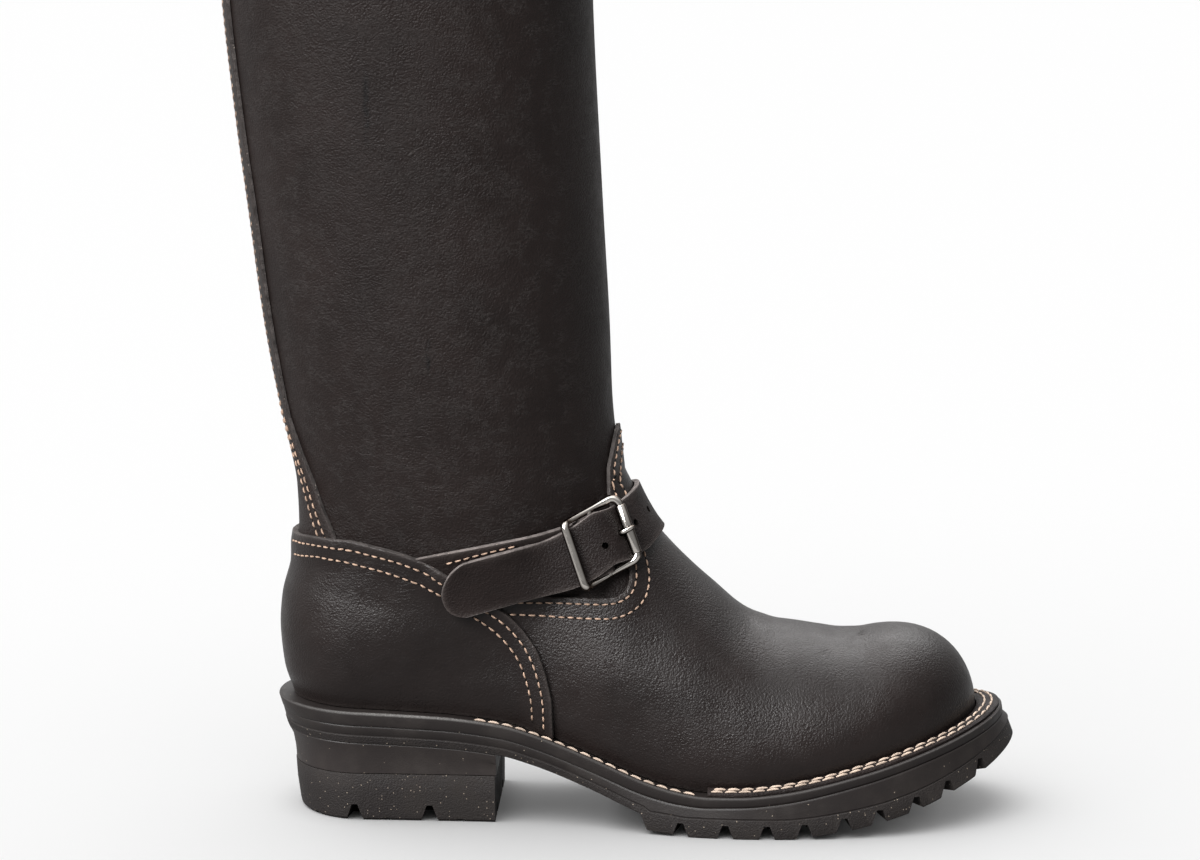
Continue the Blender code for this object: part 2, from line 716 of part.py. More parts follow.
def make_sole():
    """Makes the layers under the foot, from the midsole down to the heel's cap."""
    rubber = finish("midsole", (0.022, 0.021, 0.021), 0.55)
    layer("midsole", [(rim_height, (-0.8, -0.8, -0.8)), (lambda x: rim_height(x) - 1.0, (0.0, 0.0, 0.0)),
                      (midsole_low, (-0.6, -1.6, 0.2))], 40, rubber)
    rubber = finish("outsole", (0.02, 0.02, 0.02), 0.6)
    flare = lambda x: -2.0 + 3.4 * ease(x, 70.0, 116.0)
    slight = lambda x: -1.0 + 1.2 * ease(x, 70.0, 116.0)
    stations = 52
    outsole = layer("outsole", [(lambda x: midsole_low(x) - GAP, (slight, -1.9, 0.6)),
                                (outsole_low, (flare, -3.4, 5.0))], stations, rubber)
    for side in (-1, 1):
        for x in TREAD_GROOVES:
            floor = float(tread_height(x))
            cutter = edge_groove(x, side, 1.4, -3.4, 5.0, floor, GROOVE_DEPTH, EDGE_LUG, rubber)
            cut(outsole, cutter, "DIFFERENCE")
    ring = [round_toe(26, TREAD_START - 6.0, 1.4 - EDGE_LUG - step, 5.0 - EDGE_LUG - step) for step in (0.0, CHANNEL)]
    deep = lambda x: float(tread_height(x)) + GROOVE_DEPTH - 0.6
    cut(outsole, strip("cut", ring[0], ring[1], lambda x: float(tread_height(x)) - 8.0, deep, rubber), "DIFFERENCE")
    for x in CROSS_GROOVES:
        box = [(x - 2.0, -9.0), (x + 2.0, -9.0), (x + 1.2, deep(x) - 0.4), (x - 1.2, deep(x) - 0.4)]
        half = float(min(half_plan(x, -1), half_plan(x, 1))) - EDGE_LUG - 0.5
        swing = float(toe_swing(x))
        cut(outsole, prism("cut", box, "Y", swing - half, swing + half, rubber), "DIFFERENCE")
    weld(outsole)
    rubber = finish("heel_base", (0.021, 0.02, 0.02), 0.55)
    layer("heel_base", [(lambda x: rim_height(x) - SOLE_WAIST - GAP, (-2.6, -3.8, 0.0)),
                        (lambda x: 27.0, (-4.2, -6.6, 0.0)),
                        (lambda x: HEEL_CAP_HEIGHT + GAP, (-4.4, -7.2, 0.0))], 20, rubber, end=BREAST)
    rubber = finish("heel_cap", (0.024, 0.023, 0.022), 0.65)
    cap = layer("heel_cap", [(lambda x: HEEL_CAP_HEIGHT, (-3.9, -7.0, 0.0)), (lambda x: 2.2, (-4.6, -8.8, 0.0)),
                             (lambda x: 0.0, (-5.6, -10.2, 0.0))], 20, rubber, end=BREAST - 0.5)
    for side in (-1, 1):
        for x in HEEL_GROOVES:
            cut(cap, edge_groove(x, side, -4.6, -8.8, 0.0, 0.0, 7.0, 13.0, rubber), "DIFFERENCE")
    ring = [round_heel(14, BREAST + 6.0, -4.6 - step, -8.8 - step) for step in (13.0, 13.0 + CHANNEL)]
    cut(cap, strip("cut", ring[0], ring[1], lambda x: -8.0, lambda x: 4.5, rubber), "DIFFERENCE")
    weld(cap)


def make_welt():
    """Makes the strip on the ledge round the forefoot, just outside the vamp."""
    grow = -LEDGE_SIDE + VAMP_THICKNESS + 2.5 * GAP
    inner = round_toe(22, WELT_START, grow, -LEDGE_TOE + VAMP_THICKNESS + 2.5 * GAP)
    outer = round_toe(22, WELT_START, -WELT_INSET, -WELT_INSET)
    low = lambda x: rim_height(x) + GAP
    strip("welt", outer, inner, low, lambda x: low(x) + WELT_THICKNESS, finish("welt", (0.03, 0.025, 0.022), 0.5))


def make_insole(grid):
    """Makes the flat board inside the upper's foot."""
    inset = WALL + 1.3
    low = lambda x: rim_height(x) + GAP
    plan = (-LEDGE_SIDE - inset, -LEDGE_HEEL - inset, -LEDGE_TOE - inset)
    layer("insole", [(lambda x: low(x) + INSOLE_THICKNESS, plan), (low, plan)], 30,
          finish("insole", (0.28, 0.19, 0.11), 0.7))


def on_skin(rows, lifts):
    """Places rows of side-view points (x, z, side) on the form, each station lifted off it."""
    rows = np.array(rows)
    points = np.zeros(rows.shape)
    lifts = np.broadcast_to(lifts, rows.shape[:2])
    for side in (-1, 1):
        mask = rows[..., 2] == side
        points[mask] = skin(rows[..., 0][mask], rows[..., 1][mask], side, lifts[mask])
    return points


def band(name, low, high, material):
    """Makes a strap between two faces, each a grid of rows along the strap."""
    count_rows, count = low.shape[:2]
    verts = np.concatenate([low.reshape(-1, 3), high.reshape(-1, 3)])
    base = count_rows * count
    faces = []
    for r in range(count_rows - 1):
        for k in range(count - 1):
            a = r * count + k
            faces.append((a, a + 1, a + count + 1, a + count))
            faces.append((base + a, base + a + count, base + a + count + 1, base + a + 1))
    for r in (0, count_rows - 1):
        for k in range(count - 1):
            a = r * count + k
            faces.append((a, a + 1, base + a + 1, base + a))
    for k in (0, count - 1):
        for r in range(count_rows - 1):
            a = r * count + k
            faces.append((a, a + count, base + a + count, base + a))
    return new_object(name, verts, faces, material)


def flat_in_buckle(points, shares, weights):
    """Flattens a strap's face across its breadth where it runs through the buckle."""
    here, lengthwise, across, out = buckle_directions()
    middle = points[len(shares) // 2] - here
    flat = np.array([here + (middle @ lengthwise)[:, None] * lengthwise + (middle @ out)[:, None] * out
                     + (middle @ across + share * STRAP_HALF)[:, None] * across for share in shares])
    return points + (flat - points) * weights[None, :, None]


strap_middle = smooth_through(STRAP_LINE, "x", "z")
short_middle = smooth_through(BUCKLE_STRAP_LINE, "x", "z")
strap_lift = smooth_through(STRAP_LIFT, "x", "lift")


def strap_line(middle, x, share):
    """Gives the height in the side view of a line beside a strap's middle line."""
    slope = (middle(x + 0.5) - middle(x - 0.5)) / 1.0
    return middle(x) + share * STRAP_HALF * np.sqrt(1 + slope ** 2)


def meet(function, low, high):
    """Finds where a falling function crosses zero."""
    for _ in range(50):
        middle = 0.5 * (low + high)
        low, high = (middle, high) if function(middle) > 0 else (low, middle)
    return 0.5 * (low + high)


def counter_x(z):
    """Gives the counter's edge in the side view at a height below its top line."""
    edge = rounded(COUNTER_EDGE)
    edge = edge[edge[:, 0] > -8.0]
    return float(np.interp(z, edge[::-1, 1], edge[::-1, 0]))


def make_instep_strap():
    """Makes the long strap: round tail, over the short strap, through the buckle and over the instep."""
    tip = STRAP_STATIONS[0]
    front = STRAP_STATIONS[-1]
    shares = np.linspace(-1.0, 1.0, STRAP_ROWS)
    rows = []
    for share in shares:
        line = lambda x, s=share: strap_line(strap_middle, x, s)
        end = meet(lambda x: float(form_square(x, line(x))), 80.0, 125.0)
        row = []
        round_in = STRAP_HALF * (1 - math.sqrt(max(1 - share * share, 0.0))) * 0.98
        for x in STRAP_STATIONS:
            start = tip + round_in
            t = (x - tip) / (front - tip)
            at = start + (end - start) * t
            row.append((at, float(line(at)), -1))
        stop = meet(lambda x: x - counter_x(float(line(x))) - 0.0, 60.0, 5.0) + 1.2
        for x in INNER_STATIONS:
            t = (x - INNER_STATIONS[-1]) / (front - INNER_STATIONS[-1])
            at = stop + (end - stop) * t
            row.append((at, float(line(at)), 1))
        rows.append(row)
    stations = np.array([x for x, _, _ in rows[len(rows) // 2]])
    outer_side = np.arange(len(stations)) < len(STRAP_STATIONS)
    lifts = np.where(outer_side, strap_lift(stations), INNER_LIFT)
    weights = ease(stations, 69.0, 76.0) * (1 - ease(stations, 99.0, 104.0)) * outer_side
    low, high = (flat_in_buckle(on_skin(rows, lifts + extra), shares, weights) for extra in (0.0, STRAP_THICKNESS))
    return band("instep_strap", low, high, finish("instep_strap", (0.033, 0.026, 0.023), 0.42))


def buckle_directions():
    """Gives the buckle's place on the form and its directions along, across and out."""
    x = BUCKLE_X + np.array([0.0, BUCKLE_CHORD, -BUCKLE_CHORD, -0.35 * BUCKLE_CHORD, 0.35 * BUCKLE_CHORD])
    z = strap_middle(x) + np.array([0.0, 0.0, 0.0, BUCKLE_CHORD, -BUCKLE_CHORD])
    here, ahead, behind, above, below = skin(x, z, -1, np.zeros(5))
    lengthwise = (ahead - behind) / np.linalg.norm(ahead - behind)
    out = np.cross(lengthwise, above - below)
    out /= np.linalg.norm(out)
    return here, lengthwise, np.cross(out, lengthwise), out


def placed(points):
    """Turns points (along, across, out) of the buckle into points of the boot."""
    here, lengthwise, across, out = buckle_directions()
    points = np.asarray(points, float)
    return here + points[:, :1] * lengthwise + points[:, 1:2] * across + points[:, 2:3] * out


def rod(name, path, radius, material, closed=False, sides=8):
    """Sweeps a round section along a path."""
    path = np.asarray(path, float)
    count = len(path)
    ahead = np.roll(path, -1, 0) - np.roll(path, 1, 0)
    if not closed:
        ahead[0], ahead[-1] = path[1] - path[0], path[-1] - path[-2]
    ahead /= np.linalg.norm(ahead, axis=1, keepdims=True)
    up = buckle_directions()[3]
    verts = []
    for point, tangent in zip(path, ahead):
        aside = np.cross(tangent, up)
        aside /= np.linalg.norm(aside)
        above = np.cross(aside, tangent)
        for k in range(sides):
            angle = 2 * math.pi * (k + 0.5) / sides
            verts.append(point + radius * (math.cos(angle) * aside + math.sin(angle) * above))
    faces = []
    for k in range(count if closed else count - 1):
        after = (k + 1) % count
        for s in range(sides):
            t = (s + 1) % sides
            faces.append((k * sides + s, k * sides + t, after * sides + t, after * sides + s))
    if not closed:
        faces += [tuple(range(sides)), tuple(range((count - 1) * sides, count * sides))]
    return new_object(name, verts, faces, material)


def frame_out(along_strap):
    """Gives how far the buckle's rods stand out, bowed over the boot and tilted along the strap."""
    t = along_strap / BUCKLE_HALF_LENGTH
    return FRAME_OUT + FRAME_BOW * t * t + FRAME_TILT * t


def make_buckle():
    """Makes the frame with its middle bar, the roller on its front bar, and the prong."""
    metal = finish("buckle_frame", (0.62, 0.6, 0.56), 0.28, metallic=1.0)
    path = []
    for sx, sy, start in ((1, 1, 0.0), (-1, 1, 0.5), (-1, -1, 1.0), (1, -1, 1.5)):
        for k in range(4):
            angle = math.pi * (start + k / 6)
            s = sx * (BUCKLE_HALF_LENGTH - BUCKLE_CORNER) + BUCKLE_CORNER * math.cos(angle)
            t = sy * (BUCKLE_HALF_BREADTH - BUCKLE_CORNER) + BUCKLE_CORNER * math.sin(angle)
            path.append((s, t, frame_out(s)))
        if sx * sy > 0:
            for k in (0.75, 0.5, 0.25):
                s = sx * (2 * k - 1) * (BUCKLE_HALF_LENGTH - BUCKLE_CORNER)
                path.append((s, sy * BUCKLE_HALF_BREADTH, frame_out(s)))
    frame = rod("buckle_frame", placed(path), ROD_RADIUS, metal, closed=True)
    bar = [(0.0, t, BAR_OUT + (FRAME_OUT - BAR_OUT) * abs(t / BUCKLE_HALF_BREADTH) ** 4)
           for t in np.linspace(-BUCKLE_HALF_BREADTH, BUCKLE_HALF_BREADTH, 7)]
    cut(frame, rod("cut", placed(bar), BAR_RADIUS, metal), "UNION")
    weld(frame)
    metal = finish("buckle_roller", (0.66, 0.64, 0.6), 0.25, metallic=1.0)
    axis = [(BUCKLE_HALF_LENGTH, t, frame_out(BUCKLE_HALF_LENGTH)) for t in (-0.5 * ROLLER_LENGTH, 0.5 * ROLLER_LENGTH)]
    roller = rod("buckle_roller", placed(axis), ROLLER_RADIUS, metal, sides=12)
    axis = [(s, t * 1.2, n) for s, t, n in axis]
    cut(roller, rod("cut", placed(axis), ROD_RADIUS + GAP, metal, sides=12), "DIFFERENCE")
    metal = finish("buckle_prong", (0.64, 0.62, 0.58), 0.28, metallic=1.0)
    return rod("buckle_prong", placed(prong_path()), PRONG_RADIUS, metal)


def prong_path():
    """Gives the prong's line: a hook under the middle bar, up through the strap, onto the roller."""
    curl = BAR_RADIUS + GAP + PRONG_RADIUS
    hook = [(curl * math.cos(a), 0.0, BAR_OUT + curl * math.sin(a)) for a in np.radians((150, 185, 220, 255, 290, 325))]
    tip = frame_out(BUCKLE_HALF_LENGTH) + ROLLER_RADIUS + PRONG_RADIUS + 0.5
    return hook + [(5.0, 0.0, BAR_OUT - 0.2), (8.2, 0.0, BAR_OUT + 3.2), (BUCKLE_HALF_LENGTH - 0.8, 0.0, tip),
                   (BUCKLE_HALF_LENGTH + 2.6, 0.0, tip - 0.4)]


def make_buckle_strap():
    """Makes the short strap from the counter's edge to its loop round the buckle's middle bar."""
    material = finish("buckle_strap", (0.033, 0.026, 0.023), 0.45)
    rows = []
    stations = np.array([0.0, 0.12, 0.3, 0.5, 0.7, 0.82, 0.9, 0.95, 1.0])
    for share in np.linspace(-1.0, 1.0, STRAP_ROWS):
        line = lambda x, s=share: strap_line(short_middle, x, s)
        start = meet(lambda x: x - counter_x(float(line(x))), 60.0, 2.0) + 1.2
        at = start + (BUCKLE_X - 1.0 - start) * stations
        rows.append([(x, float(line(x)), -1) for x in at])
    lifts = np.full(len(stations), SHORT_STRAP_LIFT)
    short = band("buckle_strap", on_skin(rows, lifts), on_skin(rows, lifts + BUCKLE_STRAP_THICKNESS), material)
    cut(short, buckle_loop(material), "UNION")
    slot = [(s, t, n) for t in (-PRONG_RADIUS - 0.6, PRONG_RADIUS + 0.6)
            for s, n in ((-5.2, -6.0), (9.0, -6.0), (9.0, 12.0), (-5.2, 12.0))]
    faces = [(0, 1, 2, 3), (7, 6, 5, 4), (0, 4, 5, 1), (1, 5, 6, 2), (2, 6, 7, 3), (3, 7, 4, 0)]
    return weld(cut(short, new_object("cut", placed(slot), faces, material), "DIFFERENCE"))


def buckle_loop(material):
    """Makes the short strap's turn round the middle bar and the end that lies back on it."""
    inner = BAR_RADIUS + GAP
    outer = inner + LOOP_THICKNESS
    turn = np.radians(np.linspace(-90.0, 80.0, 8))
    far = [(outer * math.cos(a), BAR_OUT + outer * math.sin(a)) for a in turn]
    near = [(inner * math.cos(a), BAR_OUT + inner * math.sin(a)) for a in turn]
    tail = [(-4.2, BAR_OUT + 1.9), (-8.0, BAR_OUT + 0.2), (-8.4, BAR_OUT - 1.1), (-4.4, BAR_OUT + 0.5)]
    profile = [(-3.0, BAR_OUT - outer)] + far + tail + near[::-1] + [(-3.0, BAR_OUT - inner)]
    count = len(profile)
    half = STRAP_HALF - 0.8
    points = [(s, t, n) for t in (-half, half) for s, n in profile]
    faces = [tuple(range(count)), tuple(range(2 * count - 1, count - 1, -1))]
    faces += [(i, count + i, count + (i + 1) % count, (i + 1) % count) for i in range(count)]
    return new_object("cut", placed(points), faces, material)


def clear_scene():
    """Removes whatever the scene starts with."""
    for thing in list(bpy.data.objects):
        bpy.data.objects.remove(thing, do_unlink=True)


def main():
    clear_scene()
    grid = side_grid(RINGS_FOOT, RINGS_LEG, AROUND)
    make_upper(grid)
    make_overlays(grid)
    make_insole(grid)
    make_welt()
    make_sole()
    strap = make_instep_strap()
    make_buckle_strap()
    make_buckle()
    hole = rod("cut", placed(prong_path()[5:]), PRONG_RADIUS + 0.5, strap.data.materials[0])
    weld(cut(strap, hole, "DIFFERENCE"))


if __name__ == "__main__":
    main()
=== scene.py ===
"""Looks of a right over-the-knee boot, laid out as an add-on and run as a script.

Sizes are millimetres until a mesh is made. X runs from heel to toe, Y from the outer side (-) to
the inner side (+) of the right foot, and Z up from the floor. The leather lies on one form, a foot
and a leg joined by a soft union. A place on that form has two numbers: u runs round the boot (0 at
the back, 1 at the front by way of the outer side, 2 at the back again) and v runs up it (0 at the
sole, 1 at the throat, 2 at the collar).
"""
import json
import math
from collections import namedtuple

import bmesh
import bpy
import numpy as np
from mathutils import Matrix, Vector, geometry
from mathutils.bvhtree import BVHTree
from mathutils.kdtree import KDTree

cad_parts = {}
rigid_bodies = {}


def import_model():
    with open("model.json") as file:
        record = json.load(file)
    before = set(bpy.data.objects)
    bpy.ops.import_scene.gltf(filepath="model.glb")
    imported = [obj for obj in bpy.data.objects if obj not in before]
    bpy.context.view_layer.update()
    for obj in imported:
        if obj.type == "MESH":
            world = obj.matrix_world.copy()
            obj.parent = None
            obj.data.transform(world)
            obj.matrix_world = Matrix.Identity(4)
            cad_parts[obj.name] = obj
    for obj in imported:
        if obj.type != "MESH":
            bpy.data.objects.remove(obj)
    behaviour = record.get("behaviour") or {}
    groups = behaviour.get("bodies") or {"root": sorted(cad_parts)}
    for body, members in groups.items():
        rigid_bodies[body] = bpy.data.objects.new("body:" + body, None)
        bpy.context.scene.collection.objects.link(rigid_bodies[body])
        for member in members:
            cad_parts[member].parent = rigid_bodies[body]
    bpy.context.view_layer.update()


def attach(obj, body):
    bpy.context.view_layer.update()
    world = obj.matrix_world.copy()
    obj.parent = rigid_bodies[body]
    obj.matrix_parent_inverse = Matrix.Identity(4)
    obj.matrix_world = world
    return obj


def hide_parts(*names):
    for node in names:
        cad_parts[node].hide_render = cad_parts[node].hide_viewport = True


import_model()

bl_info = {
    "name": "Over-the-knee boot",
    "version": (1, 0, 0),
    "blender": (4, 5, 0),
    "location": "3D View > Sidebar > Boot",
    "description": "Dresses the packed boot in leather, thread, rubber and nickel",
    "category": "Object",
}

# A millimetre in metres, the gap between pieces, and the upper's height over the rim.
MM = 0.001
GAP = 0.3
SEAT = 0.8
OUTER, INNER = -1, 1
BODY = "root"

# The smallest length, the step of slopes and the rounds of searches.
TINY = 1e-9
SLOPE_STEP = 0.05
HALVINGS = 40


def table(columns, *rows):
    """Makes a table whose rows have named columns."""
    kind = namedtuple("Row", columns)
    return tuple(kind(*row) for row in rows)


# Thickness of the wall, of the leather laid over it, of the straps and of the welt.
WALL = 2.2
VAMP_THICKNESS = 1.9
COUNTER_THICKNESS = 2.5
STAY_THICKNESS = 1.7
STRAP_THICKNESS = 2.2
BUCKLE_STRAP_THICKNESS = 2.0
WELT_THICKNESS = 1.8
WELT_INSET = 1.4

# The leg in the side view: its back line, its front line and half its breadth at each height.
LEG = table(
    "height back front half_breadth",
    (46, -43.4, 58.0, 22.0), (53, -45.1, 64.0, 25.0), (64, -47.2, 71.0, 29.0), (80, -48.4, 80.0, 33.0),
    (92, -47.4, 86.0, 35.5), (106, -43.8, 91.0, 38.0), (124, -40.7, 95.0, 41.3),
    (141, -41.3, 95.8, 44.3), (159, -44.4, 94.3, 46.9), (176, -48.0, 92.7, 49.0),
    (211, -53.9, 91.3, 52.2), (254, -59.5, 88.7, 55.0), (296, -64.8, 86.6, 57.0),
    (347, -69.7, 84.1, 59.0), (420, -74.6, 81.6, 60.5), (510, -77.6, 81.0, 62.5),
    (610, -80.0, 83.0, 66.0),
)
LEG_ROUNDNESS = 2.2
THROAT_HEIGHT = 172.0
COLLAR_HEIGHT = 610.0

# The foot's top line in the side view, up to the toe box.
FOOT_TOP = table(
    "x top",
    (-60.0, 174.0), (40.0, 172.0), (75.0, 166.0), (90.0, 156.0), (98.0, 141.5), (102.6, 132.0),
    (108.0, 123.0), (116.0, 113.6), (124.6, 105.0), (134.2, 96.5), (144.8, 87.8), (155.2, 81.8),
    (164.0, 79.0), (173.0, 77.4), (182.0, 75.9), (191.0, 74.7), (200.0, 74.9),
)
FOOT_FULLNESS = 2.3
TOE_BOX_START = 200.0
TOE_BOX_ROUNDNESS = 2.2
SIDE_BULGE = 3.0
BULGE_HEIGHT = 7.0
BULGE_BREADTH = 40.0

# How the foot and the leg run into each other.
SOFT_UNION = 420.0
UNION_FADE = 700.0
LEAST_RISE = 0.5
SHEAR_SPAN = (-20.0, 45.0)
EVEN_SPAN = (70.0, 140.0)
EVEN_SOFT = 1.0

# The plan of the sole's rim: half breadths on the outer and the inner side of the middle line.
PLAN = table(
    "x outer inner",
    (-13.5, 38.8, 38.8), (12.0, 39.4, 38.2), (38.0, 40.4, 36.6), (62.0, 42.0, 35.6), (86.0, 45.6, 37.4),
    (110.0, 50.6, 42.6), (134.0, 55.3, 49.0), (155.0, 57.0, 52.6), (175.0, 57.0, 53.5),
)
HEEL_CENTRE = -13.5
HEEL_RADIUS = 38.8
OUTER_BALL = 155.0
INNER_BALL = 175.0
TOE_TIP = 261.0
TOE_ROUNDNESS = 2.6
TOE_SWING = 4.0
SWING_START = 120.0
SWING_LIMIT = 1.2

# How far the upper's foot stands inside the rim, at the sides, the heel and the toe.
LEDGE_SIDE = 7.4
LEDGE_HEEL = 7.2
LEDGE_TOE = 13.6

# The rim line: the top of the sole's edge in the side view.
RIM = table(
    "x height",
    (-56.0, 49.9), (20.0, 47.0), (46.0, 44.0), (59.0, 40.5), (84.0, 31.4), (110.0, 21.4), (122.0, 18.6),
    (134.0, 17.3), (148.0, 17.6), (164.0, 19.2), (198.0, 26.6), (230.0, 35.8), (268.0, 48.0),
)

# The lugs' tread line in the side view: flat under the ball, then the toe spring.
TREAD = table(
    "x height",
    (108.0, 1.8), (118.0, 0.8), (126.0, 0.0), (165.0, 0.0), (176.0, 0.9), (190.0, 2.9), (206.0, 6.0),
    (220.0, 9.8), (233.0, 14.6), (245.0, 20.0), (255.0, 25.0), (268.0, 32.5),
)

# The counter's edge in the side view: along its top line and down its front.
COUNTER_EDGE = table(
    "x z",
    (-60.0, 119.5), (-44.0, 119.5), (-31.0, 121.8), (-19.0, 122.0), (-8.0, 120.6), (2.4, 118.6),
    (13.0, 115.2), (21.5, 111.2), (33.8, 102.8), (42.0, 97.0), (48.6, 92.0), (55.6, 84.8), (62.2, 75.4),
    (66.4, 64.0), (68.6, 53.0), (69.2, 30.0),
)

# The vamp's edge in the side view: its wing below the strap, then the front tab.
VAMP_EDGE = table(
    "x z",
    (38.0, 99.4), (57.0, 99.0), (72.0, 98.3), (92.0, 97.9), (96.7, 99.3), (99.3, 101.9), (100.2, 106.4),
    (98.0, 115.0), (95.2, 123.6), (92.2, 133.8), (90.4, 141.5), (90.2, 150.0), (91.5, 157.5),
    (93.0, 164.5), (95.2, 170.5),
)

# How far the vamp goes under the counter, from which x on, and its tab's rise at the middle in v.
VAMP_TUCK = 3.0
VAMP_REAR = 36.0
VAMP_LAP = 1.0
TAB_RISE = 0.006

# Half the back strip's breadth, seen from behind, at each height.
STAY = table(
    "height half_breadth",
    (100.0, 33.0), (122.0, 29.0), (134.0, 26.0), (146.0, 23.0), (160.0, 19.5), (173.0, 17.0),
    (190.0, 17.5), (265.0, 19.5), (640.0, 19.5),
)

# Where the strip starts and ends, and the search for its edge.
STAY_FOOT = 110.0
STAY_TOP_DROP = 3.0
STAY_STEPS = 120
STAY_SEARCH = 60.0

# The two straps' middle lines in the side view.
STRAP_LINE = table(
    "x z",
    (24.0, 102.4), (49.0, 109.0), (79.0, 117.2), (98.0, 125.0), (107.6, 132.4), (118.0, 142.0),
)
BUCKLE_STRAP_LINE = table(
    "x z",
    (0.0, 101.0), (30.0, 108.3), (46.6, 111.7), (63.2, 114.8), (73.0, 117.2), (100.0, 124.6),
)
STRAP_HALF = 11.8
STRAP_TIP = 22.4
STRAP_INNER_END = 34.0
SHORT_STRAP_LIFT = 1.15
INNER_LIFT = 3.1
STRAP_TUCK = 2.6
TUCK_DROP = 1.0
HOLE_RADIUS = 1.45
HOLE_SEARCH = 9.0
HOLE_CUT = (-6.0, 3.0)

# The straps' meshes: places in from each edge and steps along, with close ones round the tail.
STRAP_EDGE_STEPS = (0.0, 0.12, 0.35, 0.8, 1.5)
STRAP_INSIDE_STEPS = 7
TAIL_STEPS = (0.0, 0.0015, 0.004, 0.009, 0.018)
TAIL_END = 0.03
TAIL_FULLNESS = 0.98
OUTER_STEPS, INNER_STEPS, SHORT_STEPS = 110, 90, 70

# Where the straps' ends are looked for in x, where they tuck in, and where the long one lies flat.
FRONT_SEARCH = (80.0, 125.0)
LONG_SEARCH, SHORT_SEARCH = (60.0, 5.0), (60.0, 2.0)
LONG_TUCK_SPAN = (STRAP_INNER_END - 6.0, STRAP_INNER_END + 14.0)
SHORT_TUCK_SPAN = (0.05, 0.3)
LONG_TUCK_THIN, SHORT_TUCK_DROP, SHORT_TUCK_THIN = 0.6, 0.6, 0.5
FLAT_FROM, FLAT_TO = (40.0, 74.0), (99.0, 104.0)
SHORT_END = 0.6

# How high the strap's under face lies over the form, from its tail past the buckle to the front.
STRAP_LIFT = table(
    "x lift",
    (20.0, 6.2), (36.0, 5.0), (54.0, 5.4), (64.0, 5.8), (71.0, 6.6), (76.0, 7.2), (82.0, 8.5),
    (88.2, 8.9), (90.8, 8.4), (93.2, 6.3), (95.2, 4.2), (98.0, 3.1), (130.0, 3.0),
)

# Holes of the strap in the side view, besides the one that holds the prong.
STRAP_HOLES = table("x z", (89.6, 118.2), (99.2, 126.3), (103.5, 128.8))

# The buckle, in its own directions: along the strap, across it and out from the boot.
BUCKLE_X = 88.8
BUCKLE_CHORD = 11.0
BUCKLE_HALF_LENGTH = 13.8
BUCKLE_HALF_BREADTH = 13.4
BUCKLE_CORNER = 4.2
SQUARE_CORNER = 2.1
BUCKLE_SHIFT = -3.2
BUCKLE_SKEW = 0.155
LOWER_CORNER = 2.8
LOWER_RISE = 1.9
BUCKLE_STRETCH = 1.09
RAIL_SPREAD = 0.04
LEFT_DROP = 0.7
ROD_RADIUS = 1.75
BAR_RADIUS = 1.3
BAR_OUT = 5.3
FRAME_OUT = 5.4
FRAME_BOW = 3.4
FRAME_TILT = -1.4
ROLLER_RADIUS = 2.35
AXLE_RADIUS = 1.35
ROLLER_LENGTH = 19.0
PRONG_RADIUS = 1.1
LOOP_THICKNESS = 1.2
LOOP_HALF = 12.0
SLOT_ROOM = 0.6
HOLE_ROOM = 0.5
SLOT_CORNERS = ((-5.2, -6.0), (9.0, -6.0), (9.0, 12.0), (-5.2, 12.0))
LOOP_TAIL = ((-4.2, 1.9), (-8.0, 0.2), (-8.4, -1.1), (-4.4, 0.5))
LOOP_START = -3.0
PRONG_TIP_RISE = 0.5
PRONG_STEPS = 48
PRONG_HOOK = (150, 185, 220, 255, 290, 325)
PRONG_RISE = ((5.0, -0.6), (8.4, 1.0))
PRONG_TOP = ((10.4, -1.2), (BUCKLE_HALF_LENGTH, 0.0), (BUCKLE_HALF_LENGTH + 1.1, -0.2))
PRONG_SWELL, PRONG_SWELL_SPAN = 0.25, (0.4, 0.7)
PRONG_TAPER, PRONG_TAPER_SPAN = 0.45, (0.93, 1.0)
PRONG_FLATNESS = 0.9
BAR_STEPS = 15
BAR_INSET = 0.4
BORE_REACH = 1.2
CHORD_LEAN = 0.35
ROLLER_PROFILE = ((0.0, -0.5), (0.15, -0.2), (0.5, 0.0))

# The frame's rod, in shares of its half length and breadth: rails that broaden to the roller's end, the lower
# one pinched, a full rod at the square end, and the axle under the roller.
RAIL_SHARE, RAIL_BROADENING, BROADEN_SPAN = 0.74, 0.3, (0.1, 0.8)
PINCH, PINCH_AT, PINCH_REACH = 0.14, -0.1, 0.4
END_SHARE = 1.06
NEAR_END = 0.9
AXLE_FROM, AXLE_SPAN = 0.97, (0.62, 0.74)
ROD_SMOOTHING = 2
CORNER_STEPS, RAIL_STEPS = 9, 14

# Layers of the sole.
MIDSOLE_HEEL = 6.0
MIDSOLE_TOE = 4.4
THINNING_SPAN = (90.0, 150.0)
SOLE_WAIST = 14.0
TREAD_START = 108.0
INSOLE_THICKNESS = 3.6
WELT_START = 134.0
HEEL_CAP_HEIGHT = 20.5
BREAST = 44.0
BREAST_STEP = 0.5
LAYER_GAP = 0.08

# Grooves between the lugs: where each one meets the edge, and the form they share.
TREAD_GROOVES = (122.6, 141.5, 159.0, 174.9, 191.6, 206.6, 222.4, 236.0, 250.5)
HEEL_GROOVES = (-16.8, 15.4)
HEEL_GROOVE_DEPTH = 7.0
HEEL_LUG = 13.0
HEEL_NOTCHES = (-34.0, -3.0, 28.5)
NOTCH_DEPTH = 1.2
NOTCH_REACH = 7.0
GROOVE_DEPTH = 5.7
GROOVE_MOUTH = 3.5
GROOVE_ROOT = 1.25
EDGE_LUG = 17.0
CHANNEL = 4.5
CHANNEL_RISE = -0.6
HEEL_CHANNEL = 4.5
CROSS_GROOVES = (134.0, 152.0, 170.0, 188.0, 206.0)
CROSS_DROP = 0.4
CROSS_MOUTH, CROSS_ROOT = 2.0, 1.2
CROSS_CLEARANCE = 0.5

